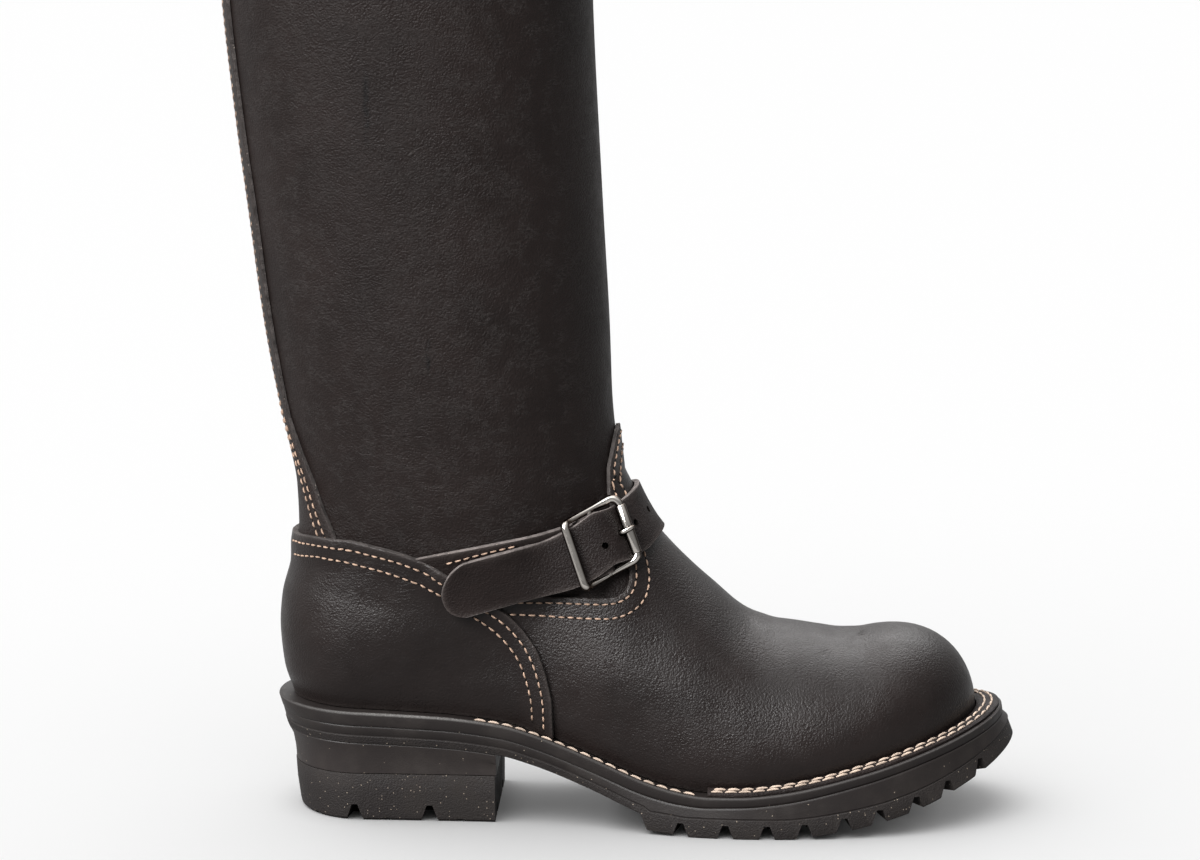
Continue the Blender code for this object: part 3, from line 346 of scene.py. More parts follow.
# How far a cutter reaches below and beyond what it cuts.
CUT_BELOW = 6.0
CUT_UNDER = 8.0
CUT_DEEP = 9.0
CUT_OUT = 9.0
BOX_FACES = ((0, 1, 2, 3), (7, 6, 5, 4), (0, 4, 5, 1), (1, 5, 6, 2), (2, 6, 7, 3), (3, 7, 4, 0))

# The painted highlight along the midsole's upper edge: its breadth, and its strength with a stronger part at
# the heel.
RIM_BREADTH = 0.9
RIM_HIGHLIGHT, HEEL_HIGHLIGHT = 0.12, 0.5
HEEL_HIGHLIGHT_X, HEEL_HIGHLIGHT_REACH = 8.0, 30.0
RIM_TOP_CLEARANCE = 0.1

# Sections of the midsole, down from the rim and then up from its under face, with the growth of its plan.
MIDSOLE_RIM = table(
    "off side heel toe",
    (0.0, -1.5, -1.5, -1.5), (0.2, -0.6, -0.6, -0.6), (0.7, -0.12, -0.12, -0.12), (1.3, 0.0, 0.0, 0.0),
)
MIDSOLE_FOOT = table(
    "off side heel toe",
    (1.0, -0.4, -1.2, 0.3), (0.3, -0.6, -1.5, 0.2), (0.0, -0.8, -1.8, 0.0),
)

# Sections of the outsole: at its top (0), its fine line (0.5) or its tread (1), how far off it, and inset.
OUTSOLE_SECTIONS = (
    (0.0, 0.0, 0.4), (0.0, 0.4, 0.1), (0.0, 0.9, 0.0), (0.5, 0.55, 0.0), (0.5, 0.2, 0.28),
    (0.5, -0.2, 0.28), (0.5, -0.55, 0.0), (1.0, 0.7, 0.0), (1.0, 0.2, 0.2), (1.0, 0.0, 0.7),
)

# Growth of the outsole's plan at its top and its tread, and what the flare adds from the waist to the ball.
FLARE_SPAN = (70.0, 116.0)
TOP_SIDE, TOP_FLARE = -1.0, 1.2
LOW_SIDE, LOW_FLARE = -2.0, 3.4
TOP_HEEL, HEEL_TAPER = -1.9, 1.5
TOP_TOE, TOE_FLARE = 0.6, 4.4
TREAD_PLAN = (1.4, -3.4, 5.0)

# The fine line along the outsole's side: over the lugs, under the midsole, and below the rim at the arch.
LINE_RISE, LINE_ROOM, LINE_DROP = 8.3, 2.2, 10.4
TREAD_DROP = 0.2

# Sections of the heel's block, down from the outsole and then level, and of its cap.
HEEL_BASE_TOP = table(
    "off side heel toe",
    (0.0, -2.95, -4.15, 0.0), (0.5, -2.7, -3.9, 0.0), (2.0, -3.1, -4.8, 0.0), (4.0, -3.6, -5.8, 0.0),
)
HEEL_BASE_LEVELS = table(
    "off side heel toe",
    (26.0, -4.1, -6.8, 0.0), (23.0, -4.3, -7.1, 0.0), (HEEL_CAP_HEIGHT + LAYER_GAP + 0.3, -4.4, -7.2, 0.0),
    (HEEL_CAP_HEIGHT + LAYER_GAP, -4.65, -7.45, 0.0),
)
HEEL_CAP_LEVELS = table(
    "off side heel toe",
    (HEEL_CAP_HEIGHT, -4.15, -7.25, 0.0), (HEEL_CAP_HEIGHT - 0.5, -3.9, -7.0, 0.0), (12.0, -4.1, -7.5, 0.0),
    (2.6, -4.6, -8.8, 0.0), (1.0, -4.9, -9.2, 0.0), (0.0, -5.8, -10.4, 0.0),
)
HEEL_PLAN = (-4.6, -8.8, 0.0)

# Steps along the layers' plans.
MIDSOLE_STEPS, OUTSOLE_STEPS, HEEL_STEPS, WELT_STEPS, INSOLE_STEPS = 150, 170, 60, 110, 90
TOE_CHANNEL_STEPS, HEEL_CHANNEL_STEPS = 60, 40

# The welt's section, as shares from its inner to its outer edge with heights, and the insole's edge.
WELT_SECTION = (
    (0.0, 0.0), (0.0, 2.7), (0.12, 3.0), (0.4, 2.6), (0.75, 1.7), (0.93, 1.2), (1.0, 0.8), (1.0, 0.0),
)
WELT_CLEARANCE = 2.5 * GAP
INSOLE_INSET = WALL + 1.3
INSOLE_SECTION = (
    (INSOLE_THICKNESS, 1.2), (INSOLE_THICKNESS - 0.3, 0.4), (INSOLE_THICKNESS - 1.2, 0.0), (0.0, 0.0),
)


def smooth_through(rows, key, value):
    """Returns a smooth function through two columns of a table that never overshoots its rows."""
    keys = np.array([getattr(row, key) for row in rows], float)
    values = np.array([getattr(row, value) for row in rows], float)
    steps = np.diff(values) / np.diff(keys)
    slopes = np.zeros(len(keys))
    rising = steps[:-1] * steps[1:] > 0
    slopes[1:-1][rising] = 2.0 * steps[:-1][rising] * steps[1:][rising] / (steps[:-1] + steps[1:])[rising]
    slopes[0], slopes[-1] = steps[0], steps[-1]

    def function(at):
        at = np.clip(np.asarray(at, float), keys[0], keys[-1])
        index = np.clip(np.searchsorted(keys, at, side="right") - 1, 0, len(keys) - 2)
        width = keys[index + 1] - keys[index]
        t = (at - keys[index]) / width
        start = values[index] * (1 + 2 * t) * (1 - t) ** 2 + slopes[index] * width * t * (1 - t) ** 2
        end = values[index + 1] * t * t * (3 - 2 * t) + slopes[index + 1] * width * t * t * (t - 1)
        return start + end

    return function


leg_back = smooth_through(LEG, "height", "back")
leg_front = smooth_through(LEG, "height", "front")
leg_half = smooth_through(LEG, "height", "half_breadth")
rim_height = smooth_through(RIM, "x", "height")
tread_height = smooth_through(TREAD, "x", "height")
instep_top = smooth_through(FOOT_TOP, "x", "top")
plan_outer = smooth_through(PLAN, "x", "outer")
plan_inner = smooth_through(PLAN, "x", "inner")


def ease(at, start, end):
    """Runs smoothly from 0 at start to 1 at end."""
    t = np.clip((np.asarray(at, float) - start) / (end - start), 0.0, 1.0)
    return t * t * (3 - 2 * t)


def toe_swing(x):
    """Gives the middle line's shift to the inner side, from the ball to the toe."""
    reach = np.clip((np.asarray(x, float) - SWING_START) / (TOE_TIP - SWING_START), 0.0, SWING_LIMIT)
    return TOE_SWING * reach ** 2


def half_plan(x, side, grow_side=0.0, grow_heel=0.0, grow_toe=0.0):
    """Gives the rim's half breadth at x on one side (-1 outer, +1 inner), grown or shrunk."""
    x = np.asarray(x, float)
    rows, ball = (plan_outer, OUTER_BALL) if side < 0 else (plan_inner, INNER_BALL)
    half = rows(np.clip(x, HEEL_CENTRE, ball)) + grow_side
    heel = np.clip((HEEL_CENTRE - x) / (HEEL_RADIUS + grow_heel), 0.0, 1.0)
    toe = np.clip((x - ball) / (TOE_TIP + grow_toe - ball), 0.0, 1.0)
    return half * np.sqrt((1 - heel ** 2) * (1 - toe ** TOE_ROUNDNESS))


def foot_top(x):
    """Gives the foot's top line, with the toe box rounded down to the rim."""
    x = np.asarray(x, float)
    toe = np.clip((x - TOE_BOX_START) / (TOE_TIP - LEDGE_TOE - TOE_BOX_START), 0.0, 1.0)
    rise = instep_top(TOE_BOX_START) - rim_height(TOE_BOX_START)
    box = rim_height(x) + rise * np.sqrt(1 - toe ** TOE_BOX_ROUNDNESS)
    return np.where(x < TOE_BOX_START, instep_top(x), box)


def heel_shear(x, z):
    """Moves x so that the foot's plan follows the back line of the heel at each height."""
    start = HEEL_CENTRE - HEEL_RADIUS + LEDGE_HEEL
    return x - (leg_back(z) - start) * (1 - ease(x, *SHEAR_SPAN))


def foot_halves(x, z):
    """Gives the foot's outer and inner half breadths at the feather line, bulged above it."""
    plan_x = heel_shear(x, z)
    swell = SIDE_BULGE * (1 - np.exp(-np.maximum(z - rim_height(x), 0.0) / BULGE_HEIGHT))
    grow = {"grow_side": -LEDGE_SIDE, "grow_heel": -LEDGE_HEEL, "grow_toe": -LEDGE_TOE}
    outer, inner = (half_plan(plan_x, side, **grow) for side in (OUTER, INNER))
    return outer * (1 + swell / BULGE_BREADTH), inner * (1 + swell / BULGE_BREADTH)


def form_square(x, z):
    """Gives the square of the form's half breadth: zero on the outline of the side view."""
    outer, inner = foot_halves(x, z)
    low = rim_height(x)
    up = np.maximum(z - low, 0.0) / np.maximum(foot_top(x) - low, LEAST_RISE)
    foot = (0.5 * (outer + inner)) ** 2 * (1 - up ** FOOT_FULLNESS)
    middle = 0.5 * (leg_back(z) + leg_front(z))
    across = np.abs(x - middle) / (0.5 * (leg_front(z) - leg_back(z)))
    leg = leg_half(z) ** 2 * (1 - across ** LEG_ROUNDNESS)
    near = np.maximum(SOFT_UNION - np.abs(foot - leg), 0.0) / SOFT_UNION
    larger = np.maximum(foot, leg)
    return larger + 0.25 * SOFT_UNION * near ** 2 * ease(larger, 0.0, UNION_FADE)


def side_share(x, z, side):
    """Gives one side's share of the half breadth: the foot is not even, the leg is."""
    outer, inner = foot_halves(x, z)
    own = np.where(np.asarray(side) < 0, outer, inner)
    share = 2.0 * (own + EVEN_SOFT) / (outer + inner + 2.0 * EVEN_SOFT)
    return 1 + (share - 1) * (1 - ease(z, *EVEN_SPAN))


def form_level(x, y, z):
    """Is positive inside the form, zero on its skin and negative outside."""
    side = np.where(y < toe_swing(x), OUTER, INNER)
    share = np.where(side < 0, side_share(x, z, OUTER), side_share(x, z, INNER))
    return form_square(x, z) - ((y - toe_swing(x)) / share) ** 2


def skin(x, z, side, lift=0.0):
    """Gives points of the form's skin on one side, lifted off it along its normal."""
    x, z, side = np.broadcast_arrays(np.asarray(x, float), np.asarray(z, float), np.asarray(side))
    half = np.sqrt(np.maximum(form_square(x, z), 0.0))
    y = toe_swing(x) + side * side_share(x, z, side) * half
    step = SLOPE_STEP
    normal = np.stack([
        form_level(x - step, y, z) - form_level(x + step, y, z),
        form_level(x, y - step, z) - form_level(x, y + step, z),
        form_level(x, y, z - step) - form_level(x, y, z + step),
    ], -1)
    normal /= np.maximum(np.linalg.norm(normal, axis=-1, keepdims=True), TINY)
    return np.stack([x, y, z], -1) + normal * np.asarray(lift, float)[..., None]


# Steps along the form's front outline, and where the foot's top line hands over to the leg.
TOE_STEPS, INSTEP_STEPS, LEG_STEPS, FRONT_STEPS = 40, 80, 12, 400
INSTEP_END = 99.0
LEG_FRONT_START = 146.0
SETTLE_ROUNDS = 6
SETTLE_LIMIT = 2.0


def front_line():
    """Gives the form's front outline in the side view, from the toe's feather line to the throat."""
    start = TOE_TIP - LEDGE_TOE
    angle = np.linspace(0.0, math.pi / 2, TOE_STEPS)
    toe = TOE_BOX_START + (start - TOE_BOX_START) * np.cos(angle)
    back = np.linspace(TOE_BOX_START, INSTEP_END, INSTEP_STEPS)[1:]
    x = np.concatenate([toe, back])
    z = foot_top(x)
    rise = np.linspace(LEG_FRONT_START, THROAT_HEIGHT, LEG_STEPS)
    return np.stack([np.concatenate([x, leg_front(rise)]), np.concatenate([z, rise])], -1)


def settle(points):
    """Moves points of the side view onto the form's outline, along its slope."""
    points = points.copy()
    step = SLOPE_STEP
    for _ in range(SETTLE_ROUNDS):
        x, z = points[:, 0], points[:, 1]
        level = form_square(x, z)
        slope = np.stack([
            form_square(x + step, z) - form_square(x - step, z),
            form_square(x, z + step) - form_square(x, z - step),
        ], -1) / (2 * step)
        move = -level / np.maximum((slope ** 2).sum(-1), 1.0)
        points += np.clip(move[:, None] * slope, -SETTLE_LIMIT, SETTLE_LIMIT)
    return points


def run_of(points):
    """Gives the length of a polyline up to each of its points."""
    return np.concatenate([[0.0], np.cumsum(np.linalg.norm(np.diff(points, axis=0), axis=1))])


def along(points, count):
    """Spaces a number of points evenly along a polyline."""
    length = run_of(points)
    at = np.linspace(0.0, length[-1], count)
    return np.stack([np.interp(at, length, points[:, i]) for i in range(points.shape[1])], -1)


# Folds of the leather in the side view: middle, side (0 for both), direction in degrees, and size.
FOLDS = table(
    "x z side turn length breadth depth",
    (151.0, 78.0, 0, 118.0, 46.0, 4.6, 0.9), (163.0, 74.0, 0, 112.0, 34.0, 3.6, 0.45),
    (141.0, 82.0, 0, 122.0, 30.0, 4.0, 0.4), (2.0, 166.0, 0, -14.0, 80.0, 7.0, 0.5),
    (22.0, 148.0, 0, 10.0, 70.0, 8.0, 0.4), (70.0, 176.0, 0, 28.0, 60.0, 9.0, 0.5),
    (-18.0, 186.0, INNER, -20.0, 70.0, 8.0, 0.5), (-10.0, 96.0, 0, -8.0, 56.0, 4.0, 0.3),
    (0.0, 80.0, 0, 0.0, 84.0, 15.0, -2.2), (98.0, 64.0, 0, -8.0, 96.0, 15.0, -1.6),
)

# Slight waves of the leather, with their lengths in x and z, and the tuck over the sole that ends at the toe.
UNEVEN = 0.25
WAVES = ((19.0, 53.0), (47.0, 31.0))
TUCK_DEPTH = 1.3
TUCK_HEIGHT = 8.0
TUCK_FADE = 0.8
TUCK_SPAN = (190.0, 235.0)
SOLE_CLEARANCE = 0.15

# Rows, columns and spacings of the fine meshes, and how far a worn edge reaches in.
FOOT_ROWS, LEG_ROWS, COLUMNS = 64, 110, 176
EDGE_RINGS = (0.12, 0.35, 0.8, 1.8)
EDGE_ROUND = 0.45
PANEL_SPACING = 1.8
PANEL_ROW_SHARE = 0.87
PANEL_SCALE = (300.0, 130.0)
STAY_SCALE = (190.0, 438.0)
LOOP_STEP = 1.3
DENSE_STEP = 0.3
RING_SHARE = 0.7
MERGE_REACH = 1e-5
CUT_EDGE_SHARE = 1.05
WEAR_REACH = 0.7
SOFT_ANGLE = 40.0
SOLE_ANGLE = 30.0
STITCH_ANGLE = 60.0


def form_lines():
    """Gives the form's front outline, even along its length, and the lowest point of its back line."""
    front = along(front_line(), FRONT_STEPS)
    front[1:] = settle(front[1:])
    front[0, 1] = rim_height(front[0, 0]) + SEAT
    return front, float(rim_height(HEEL_CENTRE - HEEL_RADIUS)) + SEAT


FRONT, LOW_BACK = form_lines()


def side_at(share, v):
    """Gives x and z in the side view at a share of the way from the back line to the front one."""
    share, v = np.broadcast_arrays(np.asarray(share, float), np.asarray(v, float))
    up = np.clip(v, 0.0, 1.0)
    back_z = LOW_BACK + (THROAT_HEIGHT - LOW_BACK) * up
    back = np.stack([leg_back(back_z), back_z], -1)
    first, last = (np.array([float(leg_back(z)), z]) for z in (LOW_BACK, THROAT_HEIGHT))
    at = np.linspace(0.0, 1.0, len(FRONT))
    front = np.stack([np.interp(up, at, FRONT[:, 0]), np.interp(up, at, FRONT[:, 1])], -1)
    feather_x = first[0] + (FRONT[0, 0] - first[0]) * share
    feather = np.stack([feather_x, rim_height(feather_x) + SEAT], -1)
    share, up = share[..., None], up[..., None]
    throat = last + (FRONT[-1] - last) * share
    foot = (1 - up) * feather + up * throat
    foot += (1 - share) * (back - (1 - up) * first - up * last)
    foot += share * (front - (1 - up) * FRONT[0] - up * FRONT[-1])
    height = THROAT_HEIGHT + (COLLAR_HEIGHT - THROAT_HEIGHT) * np.clip(v - 1.0, 0.0, 1.0)
    leg_x = leg_back(height) + (leg_front(height) - leg_back(height)) * share[..., 0]
    low = v <= 1.0
    return np.where(low, foot[..., 0], leg_x), np.where(low, foot[..., 1], height)


def relief(x, z, side):
    """Gives the leather's folds and slight unevenness, as a lift off the form."""
    (first_x, first_z), (second_x, second_z) = WAVES
    total = UNEVEN * np.sin(x / first_x + z / first_z) * np.sin(z / second_z - x / second_x)
    tuck = TUCK_DEPTH * (1 - TUCK_FADE * ease(x, *TUCK_SPAN))
    total = total - tuck * np.exp(-((z - rim_height(x)) / TUCK_HEIGHT) ** 2)
    for row in FOLDS:
        turn = math.radians(row.turn)
        dx, dz = x - row.x, z - row.z
        lengthwise = (dx * math.cos(turn) + dz * math.sin(turn)) / (0.5 * row.length)
        across = (dz * math.cos(turn) - dx * math.sin(turn)) / row.breadth
        weight = np.maximum(1 - lengthwise ** 2, 0.0) ** 2 * np.exp(-across ** 2)
        total = total - row.depth * weight * np.where((side == row.side) | (row.side == 0), 1.0, 0.0)
    return total


def boot_point(u, v, lift=0.0, folded=True):
    """Gives the point of the boot at u and v, lifted off the form."""
    u, v, lift = np.broadcast_arrays(np.asarray(u, float), np.asarray(v, float), np.asarray(lift, float))
    x, z = side_at(0.5 * (1 - np.cos(math.pi * u)), v)
    side = np.where(np.mod(u, 2.0) > 1.0, INNER, OUTER)
    points = skin(x, z, side, lift + relief(x, z, side) if folded else lift)
    points[..., 2] = np.maximum(points[..., 2], rim_height(points[..., 0]) + SOLE_CLEARANCE)
    return points


def bare_point(places):
    """Gives the points of the form without its folds, at places (u, v)."""
    return boot_point(places[:, 0], places[:, 1], folded=False)


# The search for a place: steps of its first grid in both directions, then rounds of small moves.
PLACE_GRID = ((1, 121), (2, 401))
PLACE_STEP = 1e-4
PLACE_ROUNDS = 12
PLACE_LIMIT = 0.05
LEAST_AREA = 1e-6
LEAST_SHARE = 1e-3


def locate(x, z):
    """Finds u and v on the outer side for points of the side view."""
    x, z = np.asarray(x, float), np.asarray(z, float)
    shares, ups = np.meshgrid(*(np.linspace(0, end, count) for end, count in PLACE_GRID), indexing="ij")
    table_x, table_z = side_at(shares, ups)
    share, v = np.zeros(len(x)), np.zeros(len(x))
    for k in range(len(x)):
        nearest = np.argmin((table_x - x[k]) ** 2 + (table_z - z[k]) ** 2)
        share[k], v[k] = shares.flat[nearest], ups.flat[nearest]
    step = PLACE_STEP
    for _ in range(PLACE_ROUNDS):
        here = np.stack(side_at(share, v), -1)
        further, lower = np.minimum(share + step, 1), np.maximum(v - step, 0)
        ahead = np.stack(side_at(further, v), -1) - np.stack(side_at(share - step, v), -1)
        ahead /= (further - share + step)[:, None]
        above = np.stack(side_at(share, v + step), -1) - np.stack(side_at(share, lower), -1)
        above /= (v + step - lower)[:, None]
        miss = np.stack([x, z], -1) - here
        size = ahead[:, 0] * above[:, 1] - ahead[:, 1] * above[:, 0]
        size = np.where(np.abs(size) < LEAST_AREA, LEAST_AREA, size)
        move_share = (miss[:, 0] * above[:, 1] - miss[:, 1] * above[:, 0]) / size
        move_v = (ahead[:, 0] * miss[:, 1] - ahead[:, 1] * miss[:, 0]) / size
        share = share + np.clip(move_share, -PLACE_LIMIT, PLACE_LIMIT)
        v = v + np.clip(move_v, -PLACE_LIMIT, PLACE_LIMIT)
        share, v = np.clip(share, 0.0, 1.0), np.clip(v, 0.0, 2.0)
    return np.stack([np.arccos(1 - 2 * share) / math.pi, v], -1)


def resample(path, step):
    """Spaces places (u, v) evenly along a path by its length on the boot."""
    length = run_of(bare_point(path))
    at = np.linspace(0.0, length[-1], max(int(length[-1] / step), 2) + 1)
    return np.stack([np.interp(at, length, path[:, i]) for i in (0, 1)], -1)


def moved_in(path, distance, closed):
    """Moves a path (u, v) square to itself, to its left, by a distance on the boot."""
    e = PLACE_STEP
    u, v = path[:, 0], np.clip(path[:, 1], e, 2 - e)
    du = (boot_point(u + e, v, folded=False) - boot_point(u - e, v, folded=False)) / (2 * e)
    dv = (boot_point(u, v + e, folded=False) - boot_point(u, v - e, folded=False)) / (2 * e)
    ahead = np.roll(path, -1, 0) - np.roll(path, 1, 0)
    if not closed:
        ahead[0], ahead[-1] = path[1] - path[0], path[-1] - path[-2]
    along_path = ahead[:, :1] * du + ahead[:, 1:] * dv
    normal = np.cross(du, dv)
    left = np.cross(normal, along_path)
    left /= np.maximum(np.linalg.norm(left, axis=1, keepdims=True), TINY)
    uu, uv, vv = (du * du).sum(1), (du * dv).sum(1), (dv * dv).sum(1)
    a, b = (du * left).sum(1), (dv * left).sum(1)
    size = uu * vv - uv * uv
    size = np.maximum(size, LEAST_SHARE * uu * vv)
    return path + distance * np.stack([(vv * a - uv * b) / size, (uu * b - uv * a) / size], -1)


def is_inside(points, outline):
    """Tells which points lie inside a closed outline."""
    inside = np.zeros(len(points), bool)
    for (ax, ay), (bx, by) in zip(outline, np.roll(outline, -1, 0)):
        crosses = (ay > points[:, 1]) != (by > points[:, 1])
        if ay != by:
            inside ^= crosses & (points[:, 0] < ax + (points[:, 1] - ay) * (bx - ax) / (by - ay))
    return inside


def nearest_tree(points):
    """Makes a search tree of points."""
    tree = KDTree(len(points))
    for k, point in enumerate(points):
        tree.insert(point, k)
    tree.balance()
    return tree


def distances(tree, points):
    """Gives each point's distance to a tree."""
    return np.array([tree.find(point)[2] for point in points])


def edge_drop(distance, radius):
    """Gives how far a rounded edge falls below the face, at a distance in from it."""
    reach = np.clip(radius - distance, 0.0, radius)
    return radius - np.sqrt(radius ** 2 - reach ** 2)


def make_piece(name, verts, faces, materials, nodes=(), face_slots=None, sharp=SOFT_ANGLE, marks=None):
    """Makes a piece from points in millimetres, rides it on the boot and puts it in its node's place."""
    mesh = bpy.data.meshes.new(name)
    mesh.from_pydata((np.asarray(verts, float) * MM).tolist(), [], [tuple(int(i) for i in f) for f in faces])
    for material in materials:
        mesh.materials.append(material)
    if face_slots is not None:
        mesh.polygons.foreach_set("material_index", np.asarray(face_slots, np.int32))
    for label, values in (marks or {}).items():
        mesh.attributes.new(label, "FLOAT", "POINT").data.foreach_set("value", np.asarray(values, np.float32))
    thing = bpy.data.objects.new(name, mesh)
    bpy.context.scene.collection.objects.link(thing)
    return settle_piece(thing, nodes, sharp)


def settle_piece(thing, nodes=(), sharp=SOFT_ANGLE):
    """Turns a piece's faces out, smooths them between sharp edges and ties the piece to the boot."""
    shell = bmesh.new()
    shell.from_mesh(thing.data)
    bmesh.ops.recalc_face_normals(shell, faces=shell.faces)
    shell.to_mesh(thing.data)
    shell.free()
    thing.data.shade_smooth()
    thing.data.set_sharp_from_angle(angle=math.radians(sharp))
    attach(thing, BODY)
    if nodes:
        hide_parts(*nodes)
    return thing


def panel(name, loop, thickness, materials, node, swell=None, scale=PANEL_SCALE):
    """Makes a flat piece of leather on the boot.

    Its outline is a closed loop of places (u, v), with the inside on its left.
    """
    loop = resample(np.concatenate([loop, loop[:1]]), LOOP_STEP)[:-1]
    dense = resample(np.concatenate([loop, loop[:1]]), DENSE_STEP)
    tree = nearest_tree(bare_point(dense))
    outline = loop * scale
    low, high = outline.min(0), outline.max(0)
    rows = np.arange(low[1], high[1], PANEL_SPACING * PANEL_ROW_SHARE)
    cols = np.arange(low[0], high[0], PANEL_SPACING)
    grid = np.array([(c + 0.5 * PANEL_SPACING * (k % 2), r) for k, r in enumerate(rows) for c in cols])
    grid = grid[is_inside(grid, outline)] / scale
    apart = distances(tree, bare_point(grid))
    inner = [grid[apart > EDGE_RINGS[-1] + 0.5 * PANEL_SPACING]]
    for ring in EDGE_RINGS:
        line = moved_in(loop, ring, True)
        line = line[is_inside(line * scale, outline)]
        inner.append(line[distances(tree, bare_point(line)) > RING_SHARE * ring])
    flat = np.concatenate([outline] + [line * scale for line in inner])
    edges = [(k, (k + 1) % len(loop)) for k in range(len(loop))]
    made = geometry.delaunay_2d_cdt([Vector(p) for p in flat], edges, [], 1, MERGE_REACH)
    uv, faces = np.array([tuple(p) for p in made[0]]) / scale, made[2]
    bare = bare_point(uv)
    inward = distances(tree, bare)
    raise_by = GAP + (swell(bare) if swell else 0.0)
    top = boot_point(uv[:, 0], uv[:, 1], raise_by + thickness - edge_drop(inward, EDGE_ROUND))
    under = boot_point(uv[:, 0], uv[:, 1], raise_by)
    count = {}
    for face in faces:
        for a, b in zip(face, face[1:] + face[:1]):
            count[frozenset((a, b))] = (a, b) if frozenset((a, b)) not in count else None
    rim = [edge for edge in count.values() if edge]
    shift = len(uv)
    walls = [(b, a, a + shift, b + shift) for a, b in rim]
    backs = [tuple(i + shift for i in face[::-1]) for face in faces]
    near = inward < EDGE_RINGS[0] * CUT_EDGE_SHARE
    slots = [int(all(near[i] for i in face)) for face in faces] + [1] * len(walls) + [0] * len(backs)
    edge_marks = np.tile(np.exp(-inward / WEAR_REACH), 2)
    return make_piece(name, np.concatenate([top, under]), list(faces) + walls + backs, materials,
                      (node,), slots, marks={"edge_wear": edge_marks})


def rounded(edge, steps=12):
    """Gives a smooth line in the side view through a table of edge points."""
    points = np.array([(row.x, row.z) for row in edge])
    length = run_of(points)
    rows = table("at x z", *zip(length, points[:, 0], points[:, 1]))
    at = np.linspace(0.0, length[-1], steps * len(points))
    return np.stack([smooth_through(rows, "at", "x")(at), smooth_through(rows, "at", "z")(at)], -1)


def shifted(line, distance):
    """Moves a line of the side view to its left."""
    ahead = np.gradient(line, axis=0)
    ahead /= np.linalg.norm(ahead, axis=1, keepdims=True)
    return line + distance * np.stack([-ahead[:, 1], ahead[:, 0]], -1)


def on_form(line):
    """Keeps the points of a side-view line that lie on the form, above the sole."""
    held = (form_square(line[:, 0], line[:, 1]) > 1.0) & (line[:, 1] > rim_height(line[:, 0]) + SEAT)
    return line[held]


def counter_line():
    """Gives the counter's edge on the outer side as places (u, v), from the back to the sole."""
    line = locate(*on_form(rounded(COUNTER_EDGE)).T)
    return np.concatenate([[(0.0, line[0, 1])], line, [(line[-1, 0], 0.0)]])


def vamp_line():
    """Gives the vamp's edge on the outer side as places (u, v): up its rear, along the wing, up the tab."""
    rear = rounded(COUNTER_EDGE)
    rear = on_form(shifted(rear[rear[:, 0] > VAMP_REAR], -VAMP_TUCK))[::-1]
    wing = on_form(rounded(VAMP_EDGE))
    wing = wing[wing[:, 0] > rear[-1, 0] + VAMP_LAP]
    line = locate(*np.concatenate([rear, wing]).T)
    return np.concatenate([[(line[0, 0], 0.0)], line, [(1.0, line[-1, 1] + TAB_RISE)]])


def stay_line():
    """Gives the back strip's edge on the outer side as places (u, v), from the counter to the collar."""
    half = smooth_through(STAY, "height", "half_breadth")
    heights = np.linspace(STAY_FOOT, COLLAR_HEIGHT - STAY_TOP_DROP, STAY_STEPS)
    low, high = leg_back(heights), leg_back(heights) + STAY_SEARCH
    for _ in range(HALVINGS):
        middle = 0.5 * (low + high)
        inside = np.abs(skin(middle, heights, OUTER)[:, 1]) < half(heights)
        low, high = np.where(inside, middle, low), np.where(inside, high, middle)
    return locate(low, heights)


# How high the counter's edge is raised over what it covers, at each x of its edge and on each side.
COUNTER_RAISE = table(
    "x outer inner",
    (-50.0, 1.9, 1.9), (-26.0, 1.9, 1.9), (-14.0, 0.2, 0.2), (14.0, 0.2, 0.2), (24.0, 2.6, 3.6),
    (40.0, 2.6, 3.8), (48.0, 2.1, 2.1), (80.0, 2.1, 2.1),
)
RAISE_SPAN = (3.0, 15.0)
RAISE_STEP = 1.0
BOTTOM_STEPS = 200
END_STEPS = 20


def counter_raise():
    """Gives a function that raises the counter near its edge, over the pieces tucked under it."""
    line = resample(counter_line(), RAISE_STEP)
    both = np.concatenate([line, line * (-1, 1)])
    points = bare_point(both)
    inner = np.arange(len(both)) >= len(line)
    heights = [smooth_through(COUNTER_RAISE, "x", key)(points[:, 0]) for key in ("outer", "inner")]
    heights = np.where(inner, heights[1], heights[0])
    tree = nearest_tree(points)

    def swell(places):
        found = [tree.find(place) for place in places]
        reach = np.array([row[2] for row in found])
        return np.array([heights[row[1]] for row in found]) * (1 - ease(reach, *RAISE_SPAN))

    return swell


def make_overlays(sizes, leather, shaft, cut_edge):
    """Makes the vamp, the counter over it and the strip up the back."""
    edge = vamp_line()
    loop = np.concatenate([level_line(edge[0, 0], 2 - edge[0, 0], 0.0, BOTTOM_STEPS)[:-1], inner_first(edge)])
    panel("vamp_leather", loop, sizes["vamp"], (leather, cut_edge), "vamp")
    edge = counter_line()
    bottom = level_line(-edge[-1, 0], edge[-1, 0], 0.0, BOTTOM_STEPS)
    loop = np.concatenate([bottom[:-1], edge[::-1], (edge * (-1, 1))[1:-1]])
    panel("counter_leather", loop, sizes["counter"], (leather, cut_edge), "counter",
          swell=counter_raise())
    edge = stay_line()
    ends = [level_line(-1, 1, v, END_STEPS) * (u, 1) for u, v in (edge[0], edge[-1])]
    loop = np.concatenate([ends[0][:-1], edge[:-1], ends[1][::-1][:-1], (edge * (-1, 1))[::-1][:-1]])
    panel("back_strip_leather", loop, sizes["stay"], (shaft, cut_edge), "back_stay",
          scale=STAY_SCALE)


def level_line(start, end, v, count):
    """Gives places (u, v) from one u to another at the same v."""
    return np.stack([np.linspace(start, end, count), np.full(count, float(v))], -1)


def inner_first(edge):
    """Gives the upper part of the vamp's loop: up the inner side, over the tab and down the outer side."""
    inner = np.stack([2 - edge[:, 0], edge[:, 1]], -1)
    return np.concatenate([inner[:-1], edge[::-1][:-1]])


